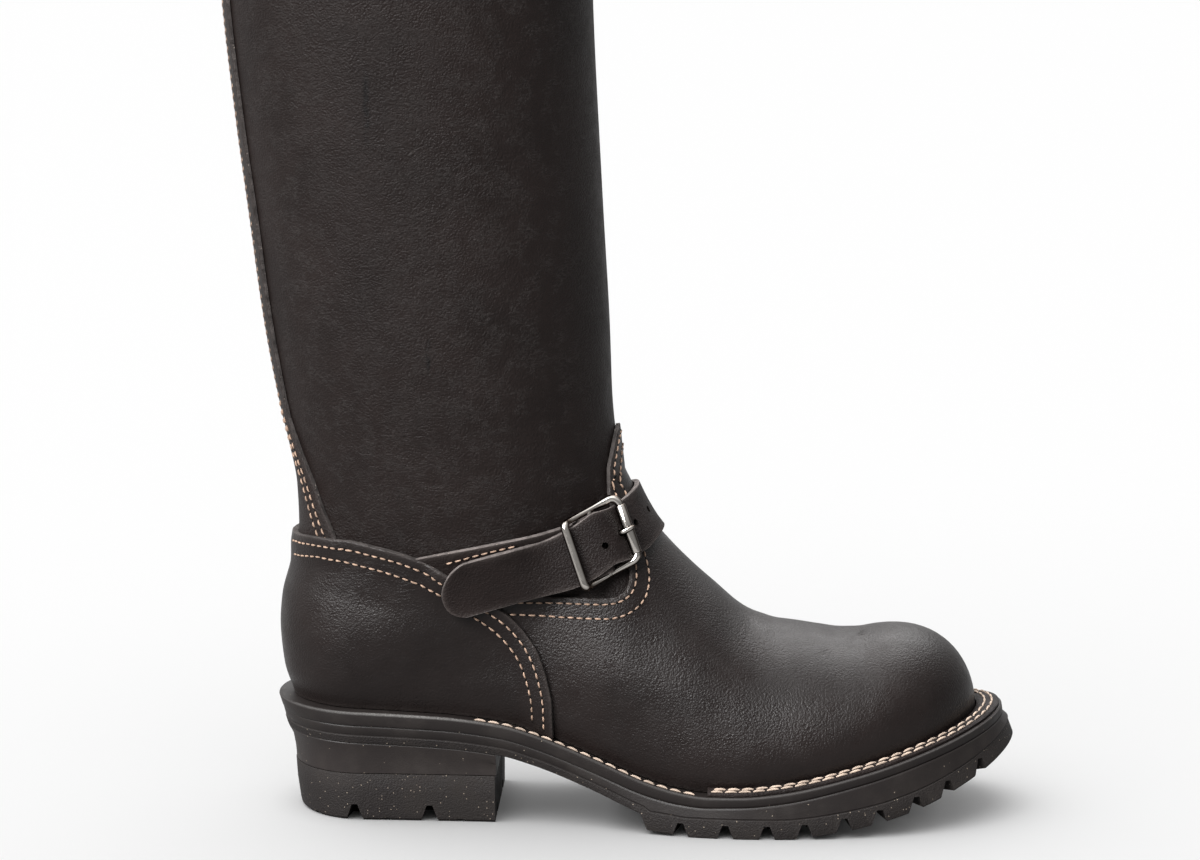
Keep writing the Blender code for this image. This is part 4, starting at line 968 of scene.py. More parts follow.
COLLAR_TURN = 9


def make_upper(shaft, lining):
    """Makes the shaft and the lined foot as one hollow wall with a rounded collar."""
    end = 2.0 - 0.5 * WALL / (COLLAR_HEIGHT - THROAT_HEIGHT)
    v = np.concatenate([np.linspace(0, 1, FOOT_ROWS + 1), np.linspace(1, end, LEG_ROWS + 1)[1:]])
    u = np.arange(COLUMNS) * 2.0 / COLUMNS
    turn = np.linspace(0.0, math.pi, COLLAR_TURN)[1:-1]
    rings = [boot_point(u, np.full(COLUMNS, row)) for row in v]
    for angle in turn:
        ring = boot_point(u, np.full(COLUMNS, end), -0.5 * WALL * (1 - math.cos(angle)))
        rings.append(ring + (0.0, 0.0, 0.5 * WALL * math.sin(angle)))
    rings += [boot_point(u, np.full(COLUMNS, row), -WALL) for row in v[::-1]]
    count = len(rings)
    faces, slots = [], []
    for k in range(count):
        for c in range(COLUMNS):
            a, b = k * COLUMNS + c, k * COLUMNS + (c + 1) % COLUMNS
            after = ((k + 1) % count) * COLUMNS
            faces.append((a, b, after + (c + 1) % COLUMNS, after + c))
            slots.append(int(k >= len(v) + len(turn)))
    return make_piece("shaft_and_lining", np.concatenate(rings), faces, (shaft, lining),
                      ("upper",), slots)


def new_mesh(name, verts, faces, material):
    """Makes a plain mesh object from points in millimetres, turned outward."""
    mesh = bpy.data.meshes.new(name)
    mesh.from_pydata((np.asarray(verts, float) * MM).tolist(), [], faces)
    mesh.materials.append(material)
    shell = bmesh.new()
    shell.from_mesh(mesh)
    bmesh.ops.recalc_face_normals(shell, faces=shell.faces)
    shell.to_mesh(mesh)
    shell.free()
    thing = bpy.data.objects.new(name, mesh)
    bpy.context.scene.collection.objects.link(thing)
    return thing


def cut(thing, cutter, operation):
    """Cuts one object with another by an exact Boolean, and removes the cutter."""
    step = thing.modifiers.new("cut", "BOOLEAN")
    step.operation = operation
    step.solver = "EXACT"
    step.object = cutter
    graph = bpy.context.evaluated_depsgraph_get()
    mesh = bpy.data.meshes.new_from_object(thing.evaluated_get(graph))
    thing.modifiers.clear()
    thing.data = mesh
    bpy.data.objects.remove(cutter, do_unlink=True)
    return thing


def weld(thing, distance=0.02):
    """Joins points closer than a distance and drops what has no area."""
    shell = bmesh.new()
    shell.from_mesh(thing.data)
    bmesh.ops.remove_doubles(shell, verts=shell.verts, dist=distance * MM)
    bmesh.ops.dissolve_degenerate(shell, edges=shell.edges, dist=distance * MM)
    shell.to_mesh(thing.data)
    shell.free()
    return thing


def prism_faces(count):
    """Gives the faces of a prism: its two ends, then its sides."""
    ends = [tuple(range(count)), tuple(range(2 * count - 1, count - 1, -1))]
    return ends + [(i, count + i, count + (i + 1) % count, (i + 1) % count) for i in range(count)]


def prism(outline, low, high, material):
    """Makes a straight prism along Y from an outline in x and z."""
    verts = [(a, depth, b) for depth in (low, high) for a, b in outline]
    return new_mesh("cut", verts, prism_faces(len(outline)), material)


def plan_line(side, count, start, end, grow_side, grow_heel, grow_toe):
    """Gives one side of a plan outline, close-set where it rounds the heel or the toe."""
    first = HEEL_CENTRE - HEEL_RADIUS - grow_heel if start is None else start
    last = TOE_TIP + grow_toe if end is None else end
    t = np.linspace(0.0, 1.0, count + 1)
    if start is None and end is None:
        t = 0.5 * (1 - np.cos(math.pi * t))
    elif start is None:
        t = 1 - np.cos(0.5 * math.pi * t)
    elif end is None:
        t = np.sin(0.5 * math.pi * t)
    x = first + (last - first) * t
    side_grow = grow_side(x) if callable(grow_side) else grow_side
    return x, toe_swing(x) + side * half_plan(x, side, side_grow, grow_heel, grow_toe)


def layer(name, sections, count, material, start=None, end=None):
    """Makes a layer of the sole from sections, top to bottom: a height function and a plan for each."""
    points, index = [], []
    for height, plan in sections:
        lanes = []
        for side in (OUTER, INNER):
            x, y = plan_line(side, count, start, end, *plan)
            lanes.append(np.stack([x, y, np.broadcast_to(height(x), x.shape)], -1))
        rows = ([], [])
        for k in range(count + 1):
            rows[0].append(len(points))
            points.append(lanes[0][k])
            shared = (k == 0 and start is None) or (k == count and end is None)
            rows[1].append(rows[0][-1] if shared else len(points))
            if not shared:
                points.append(lanes[1][k])
        index.append(rows)
    faces = []
    for k in range(count):
        for outer, inner in (index[0], index[-1]):
            faces.append((outer[k], outer[k + 1], inner[k + 1], inner[k]))
        for upper, lower in zip(index[:-1], index[1:]):
            faces += [(upper[s][k], upper[s][k + 1], lower[s][k + 1], lower[s][k]) for s in (0, 1)]
    for k, is_open in ((0, start is not None), (count, end is not None)):
        for upper, lower in zip(index[:-1], index[1:]):
            if is_open:
                faces.append((upper[0][k], upper[1][k], lower[1][k], lower[0][k]))
    faces = [tuple(dict.fromkeys(face)) for face in faces]
    return new_mesh(name, points, [face for face in faces if len(face) > 2], material)


def strip(name, lines, material):
    """Makes a closed strip along lines of points, one for each corner of its section."""
    count, lanes = len(lines[0]), len(lines)
    faces = []
    for k in range(count - 1):
        for lane in range(lanes):
            a, b = lane * count, ((lane + 1) % lanes) * count
            faces.append((a + k, a + k + 1, b + k + 1, b + k))
    faces += [tuple(lane * count + k for lane in range(lanes)) for k in (0, count - 1)]
    return new_mesh(name, np.concatenate(lines), faces, material)


def round_toe(count, start, grow_side, grow_toe):
    """Gives a plan line from a start on the outer side round the toe to the inner side."""
    outer, inner = (np.stack(plan_line(side, count, start, None, grow_side, 0.0, grow_toe), -1)
                    for side in (OUTER, INNER))
    return np.concatenate([outer, inner[-2::-1]])


def round_heel(count, end, grow_side, grow_heel):
    """Gives a plan line from an end on the outer side round the heel to the inner side."""
    outer, inner = (np.stack(plan_line(side, count, None, end, grow_side, grow_heel, 0.0), -1)
                    for side in (OUTER, INNER))
    return np.concatenate([outer[::-1], inner[1:]])


def at_height(line, height):
    """Puts a plan line at a height, which may be a function of x."""
    z = height(line[:, 0]) if callable(height) else np.full(len(line), float(height))
    return np.concatenate([line, np.reshape(z, (-1, 1))], axis=1)


def midsole_low(x):
    """Gives the midsole's under face, thinner towards the toe."""
    return rim_height(x) - MIDSOLE_HEEL + (MIDSOLE_HEEL - MIDSOLE_TOE) * ease(x, *THINNING_SPAN)


def outsole_low(x):
    """Gives the outsole's under face: the arch, a step at the first lug, then the tread."""
    return np.where(np.asarray(x) < TREAD_START, rim_height(x) - SOLE_WAIST, tread_height(x))


def edge_groove(x, side, plan, floor, depth, reach, material):
    """Makes the cutter of one groove, square to the edge and narrower towards its root."""
    def y_at(at):
        return float(toe_swing(at) + side * half_plan(at, side, *plan))

    edge = np.array([x, y_at(x)])
    along_edge = np.array([1.0, y_at(x + 0.5) - y_at(x - 0.5)])
    along_edge /= np.linalg.norm(along_edge)
    inward = np.array([along_edge[1], -along_edge[0]]) * side
    widen = (GROOVE_MOUTH - GROOVE_ROOT) / GROOVE_DEPTH
    verts = []
    for z, half in ((floor - CUT_BELOW, GROOVE_MOUTH + CUT_BELOW * widen), (floor + depth, GROOVE_ROOT)):
        for reach_in, hand in ((-CUT_OUT, -1), (-CUT_OUT, 1), (reach, 1), (reach, -1)):
            verts.append((*(edge + inward * reach_in + along_edge * half * hand), z))
    return new_mesh("cut", verts, BOX_FACES, material)


def mark_rim_highlight(thing):
    """Marks the upper edge of the midsole for a painted highlight, strongest at the heel."""
    co = np.array([vert.co[:] for vert in thing.data.vertices]) / MM
    rim = rim_height(co[:, 0])
    half = np.where(co[:, 1] < toe_swing(co[:, 0]), half_plan(co[:, 0], OUTER), half_plan(co[:, 0], INNER))
    outside = np.abs(co[:, 1] - toe_swing(co[:, 0])) > half - RIM_BREADTH
    near = (co[:, 2] > rim - RIM_BREADTH) & (co[:, 2] < rim - RIM_TOP_CLEARANCE)
    # Painted highlight: ones along the midsole's upper edge, made stronger round the heel.
    edge_marks = (outside & near).astype(np.float32)
    edge_marks *= RIM_HIGHLIGHT + HEEL_HIGHLIGHT * np.exp(-((co[:, 0] - HEEL_HIGHLIGHT_X) / HEEL_HIGHLIGHT_REACH) ** 2)
    thing.data.attributes.new("edge_wear", "FLOAT", "POINT").data.foreach_set("value", edge_marks)


def below_rim(drop):
    """Gives a height function at a drop below the sole's rim."""
    return lambda x: rim_height(x) - drop


def above_low(rise):
    """Gives a height function at a rise over the midsole's under face."""
    return lambda x: midsole_low(x) + rise


def at_level(z):
    """Gives a height function that is the same everywhere."""
    return lambda x: z


def sections_of(rows, height, start=0.0):
    """Turns a table of sections into height functions and plans."""
    return [(height(start + row.off), row[1:]) for row in rows]


def make_midsole(rubber):
    """Makes the full-length layer under the upper."""
    sections = sections_of(MIDSOLE_RIM, below_rim) + sections_of(MIDSOLE_FOOT, above_low)
    midsole = layer("midsole_rubber", sections, MIDSOLE_STEPS, rubber)
    mark_rim_highlight(midsole)
    settle_piece(midsole, ("midsole",), SOLE_ANGLE)


def outsole_section(share, off, inset):
    """Gives one section of the outsole, at a share of the way from its top to its tread."""
    def height(x):
        top, low = midsole_low(x) - LAYER_GAP, outsole_low(x)
        return np.where(share < 0.5, top - off, np.where(share < 1.0, lug_line(x) + off, low + off))

    def side(x):
        flare = ease(x, *FLARE_SPAN)
        upper, lower = TOP_SIDE + TOP_FLARE * flare, LOW_SIDE + LOW_FLARE * flare
        return upper + (lower - upper) * share - inset

    return height, (side, TOP_HEEL - HEEL_TAPER * share - inset, TOP_TOE + TOE_FLARE * share - inset)


def channel_roof(x):
    """Gives the height of the channel inside the edge lugs."""
    return tread_height(x) + GROOVE_DEPTH + CHANNEL_RISE


def make_outsole(rubber, tread):
    """Makes the full-length rubber, with the grooves of its lugs, a channel inside them and cross grooves."""
    sections = [outsole_section(*row) for row in OUTSOLE_SECTIONS]
    outsole = layer("outsole_rubber", sections, OUTSOLE_STEPS, rubber)
    outsole.data.materials.append(tread)
    for side in (OUTER, INNER):
        for x in TREAD_GROOVES:
            floor = float(tread_height(x))
            groove = edge_groove(x, side, TREAD_PLAN, floor, GROOVE_DEPTH, EDGE_LUG, tread)
            cut(outsole, groove, "DIFFERENCE")
    grow_side, _, grow_toe = TREAD_PLAN
    outer, inner = (round_toe(TOE_CHANNEL_STEPS, TREAD_START - CUT_BELOW, grow_side - EDGE_LUG - step,
                              grow_toe - EDGE_LUG - step) for step in (0.0, CHANNEL))
    lines = [at_height(ring, lambda x: tread_height(x) - CUT_UNDER) for ring in (outer, inner)]
    lines += [at_height(ring, channel_roof) for ring in (inner, outer)]
    cut(outsole, strip("cut", lines, tread), "DIFFERENCE")
    for x in CROSS_GROOVES:
        roof = float(channel_roof(x)) - CROSS_DROP
        box = [(x - CROSS_MOUTH, -CUT_DEEP), (x + CROSS_MOUTH, -CUT_DEEP), (x + CROSS_ROOT, roof),
               (x - CROSS_ROOT, roof)]
        half = float(min(half_plan(x, OUTER), half_plan(x, INNER))) - EDGE_LUG - CROSS_CLEARANCE
        swing = float(toe_swing(x))
        cut(outsole, prism(box, swing - half, swing + half, tread), "DIFFERENCE")
    weld(outsole)
    for face in outsole.data.polygons:
        middle = face.center / MM
        face.material_index = int(middle.z < lug_line(middle.x) - TREAD_DROP)
    settle_piece(outsole, ("outsole",), SOLE_ANGLE)


def make_heel(heel, tread):
    """Makes the heel's block and its lugged cap."""
    sections = sections_of(HEEL_BASE_TOP, below_rim, SOLE_WAIST + LAYER_GAP)
    sections += sections_of(HEEL_BASE_LEVELS, at_level)
    base = layer("heel_base_rubber", sections, HEEL_STEPS, heel, end=BREAST)
    settle_piece(base, ("heel_base",), SOLE_ANGLE)
    sections = sections_of(HEEL_CAP_LEVELS, at_level)
    cap = layer("heel_cap_rubber", sections, HEEL_STEPS, tread, end=BREAST - BREAST_STEP)
    grooves = [(x, HEEL_GROOVE_DEPTH, HEEL_LUG) for x in HEEL_GROOVES]
    grooves += [(x, NOTCH_DEPTH, NOTCH_REACH) for x in HEEL_NOTCHES]
    for side in (OUTER, INNER):
        for x, depth, reach in grooves:
            cut(cap, edge_groove(x, side, HEEL_PLAN, 0.0, depth, reach, tread), "DIFFERENCE")
    grow_side, grow_heel, _ = HEEL_PLAN
    rings = [round_heel(HEEL_CHANNEL_STEPS, BREAST + CUT_BELOW, grow_side - step, grow_heel - step)
             for step in (HEEL_LUG, HEEL_LUG + CHANNEL)]
    corners = ((0, -CUT_UNDER), (1, -CUT_UNDER), (1, HEEL_CHANNEL), (0, HEEL_CHANNEL))
    cut(cap, strip("cut", [at_height(rings[k], z) for k, z in corners], tread), "DIFFERENCE")
    settle_piece(weld(cap), ("heel_cap",), SOLE_ANGLE)


def lug_line(x):
    """Gives the height of the fine line along the outsole's side, over the lugs."""
    x = np.asarray(x, float)
    over_lugs = np.minimum(tread_height(x) + LINE_RISE, midsole_low(x) - LINE_ROOM)
    return np.where(x < TREAD_START, rim_height(x) - LINE_DROP, over_lugs)


def welt_top(x):
    """Gives the height of the welt's upper face."""
    return rim_height(x) + GAP + WELT_THICKNESS


def make_welt(leather):
    """Makes the strip on the ledge round the forefoot, with its edges rounded."""
    inset = VAMP_THICKNESS + WELT_CLEARANCE
    lines = []
    for share, rise in WELT_SECTION:
        side = (-LEDGE_SIDE + inset) * (1 - share) - WELT_INSET * share
        toe = (-LEDGE_TOE + inset) * (1 - share) - WELT_INSET * share
        line = round_toe(WELT_STEPS, WELT_START, side, toe)
        lines.append(at_height(line, lambda x, r=rise: rim_height(x) + GAP + r))
    settle_piece(strip("welt_strip", lines, leather), ("welt",))


def make_insole(leather):
    """Makes the flat board inside the upper's foot, with a rounded edge."""
    sections = []
    for rise, more in INSOLE_SECTION:
        plan = tuple(-ledge - INSOLE_INSET - more for ledge in (LEDGE_SIDE, LEDGE_HEEL, LEDGE_TOE))
        sections.append((lambda x, r=rise: rim_height(x) + GAP + r, plan))
    settle_piece(layer("insole_board", sections, INSOLE_STEPS, leather), ("insole",))


def on_skin(rows, lifts):
    """Places rows of side-view points (x, z, side) on the form, each station lifted off it."""
    return skin(rows[..., 0], rows[..., 1], rows[..., 2], np.broadcast_to(lifts, rows.shape[:2]))


def flat_in_buckle(points, shares, weights):
    """Flattens a strap's face across its breadth where it runs through the buckle."""
    here, lengthwise, across, out = buckle_directions()
    middle = points[len(shares) // 2] - here
    flat = np.array([here + (middle @ lengthwise)[:, None] * lengthwise + (middle @ out)[:, None] * out
                     + (middle @ across + share * STRAP_HALF)[:, None] * across for share in shares])
    return points + (flat - points) * weights[None, :, None]


strap_middle = smooth_through(STRAP_LINE, "x", "z")
short_middle = smooth_through(BUCKLE_STRAP_LINE, "x", "z")
strap_lift = smooth_through(STRAP_LIFT, "x", "lift")


def strap_line(middle, x, share):
    """Gives the height in the side view of a line beside a strap's middle line."""
    slope = middle(x + 0.5) - middle(x - 0.5)
    return middle(x) + share * STRAP_HALF * np.sqrt(1 + slope ** 2)


def meet(function, low, high):
    """Finds where a falling function crosses zero."""
    for _ in range(HALVINGS):
        middle = 0.5 * (low + high)
        low, high = (middle, high) if function(middle) > 0 else (low, middle)
    return 0.5 * (low + high)


COUNTER_TURN = -8.0
COUNTER_FRONT = rounded(COUNTER_EDGE)
COUNTER_FRONT = COUNTER_FRONT[COUNTER_FRONT[:, 0] > COUNTER_TURN][::-1]


def counter_x(z):
    """Gives the counter's edge in the side view at a height below its top line."""
    return float(np.interp(z, COUNTER_FRONT[:, 1], COUNTER_FRONT[:, 0]))


def strap_shares():
    """Gives places across a strap, close-set at its two edges."""
    edge = 1 - np.array(STRAP_EDGE_STEPS) / STRAP_HALF
    inside = np.linspace(0.0, edge[-1], STRAP_INSIDE_STEPS)[:-1]
    half = np.concatenate([inside, edge[::-1]])
    return np.concatenate([-half[:0:-1], half])


def band(name, low, high, edge, materials, node):
    """Makes a strap between two grids of points, with its cut edges in their own material."""
    rows, count = low.shape[:2]
    verts = np.concatenate([high.reshape(-1, 3), low.reshape(-1, 3)])
    base = rows * count
    faces, slots = [], []
    for r in range(rows - 1):
        for k in range(count - 1):
            a = r * count + k
            face = (a, a + 1, a + count + 1, a + count)
            faces.append(face)
            slots.append(int(max(edge.flat[i] for i in face) < 0.5))
            faces.append(tuple(base + i for i in face[::-1]))
            slots.append(0)
    walls = [(r * count + k, r * count + k + 1) for r in (0, rows - 1) for k in range(count - 1)]
    walls += [(r * count + k, (r + 1) * count + k) for k in (0, count - 1) for r in range(rows - 1)]
    faces += [(a, b, base + b, base + a) for a, b in walls]
    slots += [1] * len(walls)
    edge_marks = np.tile(np.exp(-edge.reshape(-1) / WEAR_REACH), 2)
    return make_piece(name, verts, faces, materials, (node,), slots, marks={"edge_wear": edge_marks})


def make_instep_strap(materials, thickness):
    """Makes the long strap: round tail, over the short strap, through the buckle and over the instep."""
    shares = strap_shares()
    run = np.concatenate([TAIL_STEPS, np.linspace(TAIL_END, 1.0, OUTER_STEPS)])
    outer_t = np.sin(0.5 * math.pi * run)
    inner_t = np.cos(0.5 * math.pi * np.linspace(0.0, 1.0, INNER_STEPS))[1:]
    rows, tails = [], []
    for share in shares:
        def line(x, s=share):
            return strap_line(strap_middle, x, s)

        end = meet(lambda x: float(form_square(x, line(x))), *FRONT_SEARCH)
        start = STRAP_TIP + STRAP_HALF * (1 - math.sqrt(max(1 - share * share, 0.0))) * TAIL_FULLNESS
        stop = meet(lambda x: x - counter_x(float(line(x))), *LONG_SEARCH) - STRAP_TUCK
        x = np.concatenate([start + (end - start) * outer_t, stop + (end - stop) * inner_t])
        side = np.concatenate([np.full(len(outer_t), OUTER), np.full(len(inner_t), INNER)])
        rows.append(np.stack([x, line(x), side], -1))
        tails.append(np.where(side == OUTER, x - start, STRAP_HALF))
    rows, tails = np.array(rows), np.array(tails)
    stations, outer_side = rows[len(shares) // 2, :, 0], rows[0, :, 2] == OUTER
    tuck = 1 - ease(stations, *LONG_TUCK_SPAN)
    lifts = np.where(outer_side, strap_lift(stations), INNER_LIFT - TUCK_DROP * tuck)
    weights = ease(stations, *FLAT_FROM) * (1 - ease(stations, *FLAT_TO)) * outer_side
    edge = np.minimum(((1 - np.abs(shares)) * STRAP_HALF)[:, None], np.maximum(tails, 0.0))
    thin = np.where(outer_side, 0.0, LONG_TUCK_THIN * tuck)
    low = flat_in_buckle(on_skin(rows, lifts), shares, weights)
    high = flat_in_buckle(on_skin(rows, lifts + thickness - thin), shares, weights)
    share_of = (edge_drop(edge, EDGE_ROUND) / thickness)[..., None]
    high = high + (low - high) * share_of
    strap = band("instep_strap_leather", low, high, edge, materials, "instep_strap")
    tree = surface(strap)
    # The walls of these holes, and of the prong's, take the third material: near-black painted shade.
    for row in STRAP_HOLES:
        place, normal, _, _ = tree.find_nearest(Vector(skin(row.x, row.z, OUTER, HOLE_SEARCH)))
        path = [np.array(place) + np.array(normal) * reach for reach in HOLE_CUT]
        cut(strap, rod("cut", path, HOLE_RADIUS, materials[2], sides=20), "DIFFERENCE")
    path = placed(prong_path()[5:])
    cut(strap, rod("cut", path, PRONG_RADIUS + HOLE_ROOM, materials[2], sides=14), "DIFFERENCE")
    strap.data.set_sharp_from_angle(angle=math.radians(SOFT_ANGLE))
    return strap


def surface(*things):
    """Makes a search tree of pieces' faces, in millimetres."""
    verts, faces = [], []
    for thing in things:
        shift = len(verts)
        verts += [v.co / MM for v in thing.data.vertices]
        faces += [tuple(i + shift for i in face.vertices) for face in thing.data.polygons]
    return BVHTree.FromPolygons(verts, faces)


def buckle_directions():
    """Gives the buckle's place on the form and its directions along, across and out."""
    x = BUCKLE_X + np.array([0.0, 1.0, -1.0, -CHORD_LEAN, CHORD_LEAN]) * BUCKLE_CHORD
    z = strap_middle(x) + np.array([0.0, 0.0, 0.0, BUCKLE_CHORD, -BUCKLE_CHORD])
    here, ahead, behind, above, below = skin(x, z, OUTER, np.zeros(5))
    lengthwise = (ahead - behind) / np.linalg.norm(ahead - behind)
    out = np.cross(lengthwise, above - below)
    out /= np.linalg.norm(out)
    return here, lengthwise, np.cross(out, lengthwise), out


def placed(points):
    """Turns points (along, across, out) of the buckle into points of the boot, slightly skewed."""
    here, lengthwise, across, out = buckle_directions()
    s, t, n = np.asarray(points, float).T[:, :, None]
    moved = s + BUCKLE_SHIFT + BUCKLE_SKEW * t
    spread = t * (BUCKLE_STRETCH + RAIL_SPREAD * s / BUCKLE_HALF_LENGTH)
    return here + moved * lengthwise + spread * across + n * out


def rod(name, path, radius, material, closed=False, sides=16, flatten=1.0):
    """Sweeps a round section along a path; the radius may change along it."""
    path = np.asarray(path, float)
    count = len(path)
    radius = np.broadcast_to(np.asarray(radius, float), (count,))
    ahead = np.roll(path, -1, 0) - np.roll(path, 1, 0)
    if not closed:
        ahead[0], ahead[-1] = path[1] - path[0], path[-1] - path[-2]
    ahead /= np.linalg.norm(ahead, axis=1, keepdims=True)
    up = np.broadcast_to(buckle_directions()[3], path.shape)
    if np.abs((ahead * up).sum(1)).max() > 0.99:
        up = np.broadcast_to(buckle_directions()[2], path.shape)
    aside = np.cross(ahead, up)
    aside /= np.linalg.norm(aside, axis=1, keepdims=True)
    above = np.cross(aside, ahead)
    angle = 2 * math.pi * (np.arange(sides) + 0.5) / sides
    ring = np.cos(angle)[None, :, None] * aside[:, None]
    ring = ring + flatten * np.sin(angle)[None, :, None] * above[:, None]
    verts = (path[:, None] + radius[:, None, None] * ring).reshape(-1, 3)
    faces = []
    for k in range(count if closed else count - 1):
        after = (k + 1) % count
        for s in range(sides):
            t = (s + 1) % sides
            faces.append((k * sides + s, k * sides + t, after * sides + t, after * sides + s))
    if not closed:
        faces += [tuple(range(sides)), tuple(range((count - 1) * sides, count * sides))]
    return new_mesh(name, verts, faces, material)


def frame_out(along_strap):
    """Gives how far the buckle's rods stand out, bowed over the boot and tilted along the strap."""
    t = along_strap / BUCKLE_HALF_LENGTH
    return FRAME_OUT + FRAME_BOW * t * t + FRAME_TILT * t - LEFT_DROP * np.maximum(-t, 0.0)


def frame_path():
    """Gives the frame's closed line and its radius: square at the tail's end, round at the roller's."""
    corners = []
    for sx, sy, start in ((1, 1, 0.0), (-1, 1, 0.5), (-1, -1, 1.0), (1, -1, 1.5)):
        size = (LOWER_CORNER if sy < 0 else BUCKLE_CORNER) if sx > 0 else SQUARE_CORNER
        angle = math.pi * (start + np.linspace(0.0, 0.5, CORNER_STEPS))
        corners.append(np.stack([sx * (BUCKLE_HALF_LENGTH - size) + size * np.cos(angle),
                                 sy * (BUCKLE_HALF_BREADTH - size) + size * np.sin(angle)], -1))
    path = []
    for k, corner in enumerate(corners):
        reach = np.linspace(0.0, 1.0, RAIL_STEPS)[1:-1, None]
        path += [corner, corner[-1] + reach * (corners[(k + 1) % 4][0] - corner[-1])]
    path = np.concatenate(path)
    s, t = path[:, 0] / BUCKLE_HALF_LENGTH, path[:, 1] / BUCKLE_HALF_BREADTH
    pinch = np.exp(-((s - PINCH_AT) / PINCH_REACH) ** 2) * (t < -NEAR_END)
    radius = ROD_RADIUS * (RAIL_SHARE + RAIL_BROADENING * ease(s, *BROADEN_SPAN) - PINCH * pinch)
    radius = np.where(s < -NEAR_END, END_SHARE * ROD_RADIUS, radius)
    radius += (AXLE_RADIUS - radius) * (s > AXLE_FROM) * (1 - ease(np.abs(t), *AXLE_SPAN))
    for _ in range(ROD_SMOOTHING):
        radius = 0.25 * np.roll(radius, 1) + 0.5 * radius + 0.25 * np.roll(radius, -1)
    path[:, 1] += LOWER_RISE * ease(s, -1.0, 1.0) * np.clip(-t - 0.5, 0.0, 0.5) / 0.5
    return np.column_stack([path, frame_out(path[:, 0])]), radius


def make_buckle(nickel):
    """Makes the frame with its middle bar, the roller on its front bar, and the prong."""
    path, radius = frame_path()
    buckle = rod("buckle_frame_nickel", placed(path), radius, nickel, closed=True)
    reach = np.linspace(-1.0, 1.0, BAR_STEPS) * (BUCKLE_HALF_BREADTH - BAR_INSET)
    bar = [(0.0, t, BAR_OUT + (FRAME_OUT - BAR_OUT) * abs(t / BUCKLE_HALF_BREADTH) ** 4) for t in reach]
    cut(buckle, rod("cut", placed(bar), BAR_RADIUS, nickel), "UNION")
    settle_piece(weld(buckle), ("buckle_frame",))
    half = 0.5 * ROLLER_LENGTH
    profile = [(-half + step, drop) for step, drop in ROLLER_PROFILE]
    profile += [(half - step, drop) for step, drop in ROLLER_PROFILE[::-1]]
    axis = [(BUCKLE_HALF_LENGTH, t, frame_out(BUCKLE_HALF_LENGTH)) for t, _ in profile]
    radius = [ROLLER_RADIUS + drop for _, drop in profile]
    roller = rod("buckle_roller_nickel", placed(axis), radius, nickel, sides=32)
    bore = [(s, t * BORE_REACH, n) for s, t, n in axis]
    cut(roller, rod("cut", placed(bore), AXLE_RADIUS + GAP, nickel, sides=24), "DIFFERENCE")
    settle_piece(roller, ("buckle_roller",))
    path = along(bent(np.array(prong_path())), PRONG_STEPS)
    t = np.linspace(0.0, 1.0, len(path))
    swell, taper = PRONG_SWELL * ease(t, *PRONG_SWELL_SPAN), PRONG_TAPER * ease(t, *PRONG_TAPER_SPAN)
    radius = PRONG_RADIUS * (1 + swell - taper)
    prong = rod("buckle_prong_nickel", placed(path), radius, nickel, flatten=PRONG_FLATNESS)
    settle_piece(prong, ("buckle_prong",))


def bent(points, steps=8):
    """Runs a smooth curve through points."""
    ends = np.concatenate([[2 * points[0] - points[1]], points, [2 * points[-1] - points[-2]]])
    curve = []
    for k in range(len(points) - 1):
        a, b, c, d = ends[k:k + 4]
        for t in np.linspace(0.0, 1.0, steps, endpoint=False):
            curve.append(b + 0.5 * t * (c - a + t * (2 * a - 5 * b + 4 * c - d + t * (3 * (b - c) + d - a))))
    return np.array(curve + [points[-1]])


def prong_path():
    """Gives the prong's line: a hook under the middle bar, up through the strap, onto the roller."""
    curl = BAR_RADIUS + GAP + PRONG_RADIUS
    turns = np.radians(PRONG_HOOK)
    hook = [(curl * math.cos(a), 0.0, BAR_OUT + curl * math.sin(a)) for a in turns]
    tip = frame_out(BUCKLE_HALF_LENGTH) + ROLLER_RADIUS + PRONG_RADIUS + PRONG_TIP_RISE
    rise = [(s, 0.0, BAR_OUT + n) for s, n in PRONG_RISE]
    return hook + rise + [(s, 0.0, tip + n) for s, n in PRONG_TOP]


def make_buckle_strap(materials, thickness):
    """Makes the short strap from under the counter to its loop round the buckle's middle bar."""
    shares = strap_shares()
    reach = np.linspace(0.0, 1.0, SHORT_STEPS)
    rows = []
    for share in shares:
        def line(x, s=share):
            return strap_line(short_middle, x, s)

        start = meet(lambda x: x - counter_x(float(line(x))), *SHORT_SEARCH) - STRAP_TUCK
        x = start + (BUCKLE_X + BUCKLE_SHIFT - SHORT_END - start) * reach
        rows.append(np.stack([x, line(x), np.full(len(x), OUTER)], -1))
    rows = np.array(rows)
    tuck = 1 - ease(reach, *SHORT_TUCK_SPAN)
    lifts = SHORT_STRAP_LIFT - SHORT_TUCK_DROP * tuck
    low = on_skin(rows, lifts)
    high = on_skin(rows, lifts + thickness - SHORT_TUCK_THIN * tuck)
    edge = np.broadcast_to(((1 - np.abs(shares)) * STRAP_HALF)[:, None], rows.shape[:2])
    high = high + (low - high) * (edge_drop(edge, EDGE_ROUND) / thickness)[..., None]
    short = band("buckle_strap_leather", low, high, edge, materials, "buckle_strap")
    cut(short, buckle_loop(materials[0]), "UNION")
    half = PRONG_RADIUS + SLOT_ROOM
    slot = [(s, t, n) for t in (-half, half) for s, n in SLOT_CORNERS]
    cut(short, new_mesh("cut", placed(slot), BOX_FACES, materials[0]), "DIFFERENCE")
    short.data.set_sharp_from_angle(angle=math.radians(SOFT_ANGLE))
    return short


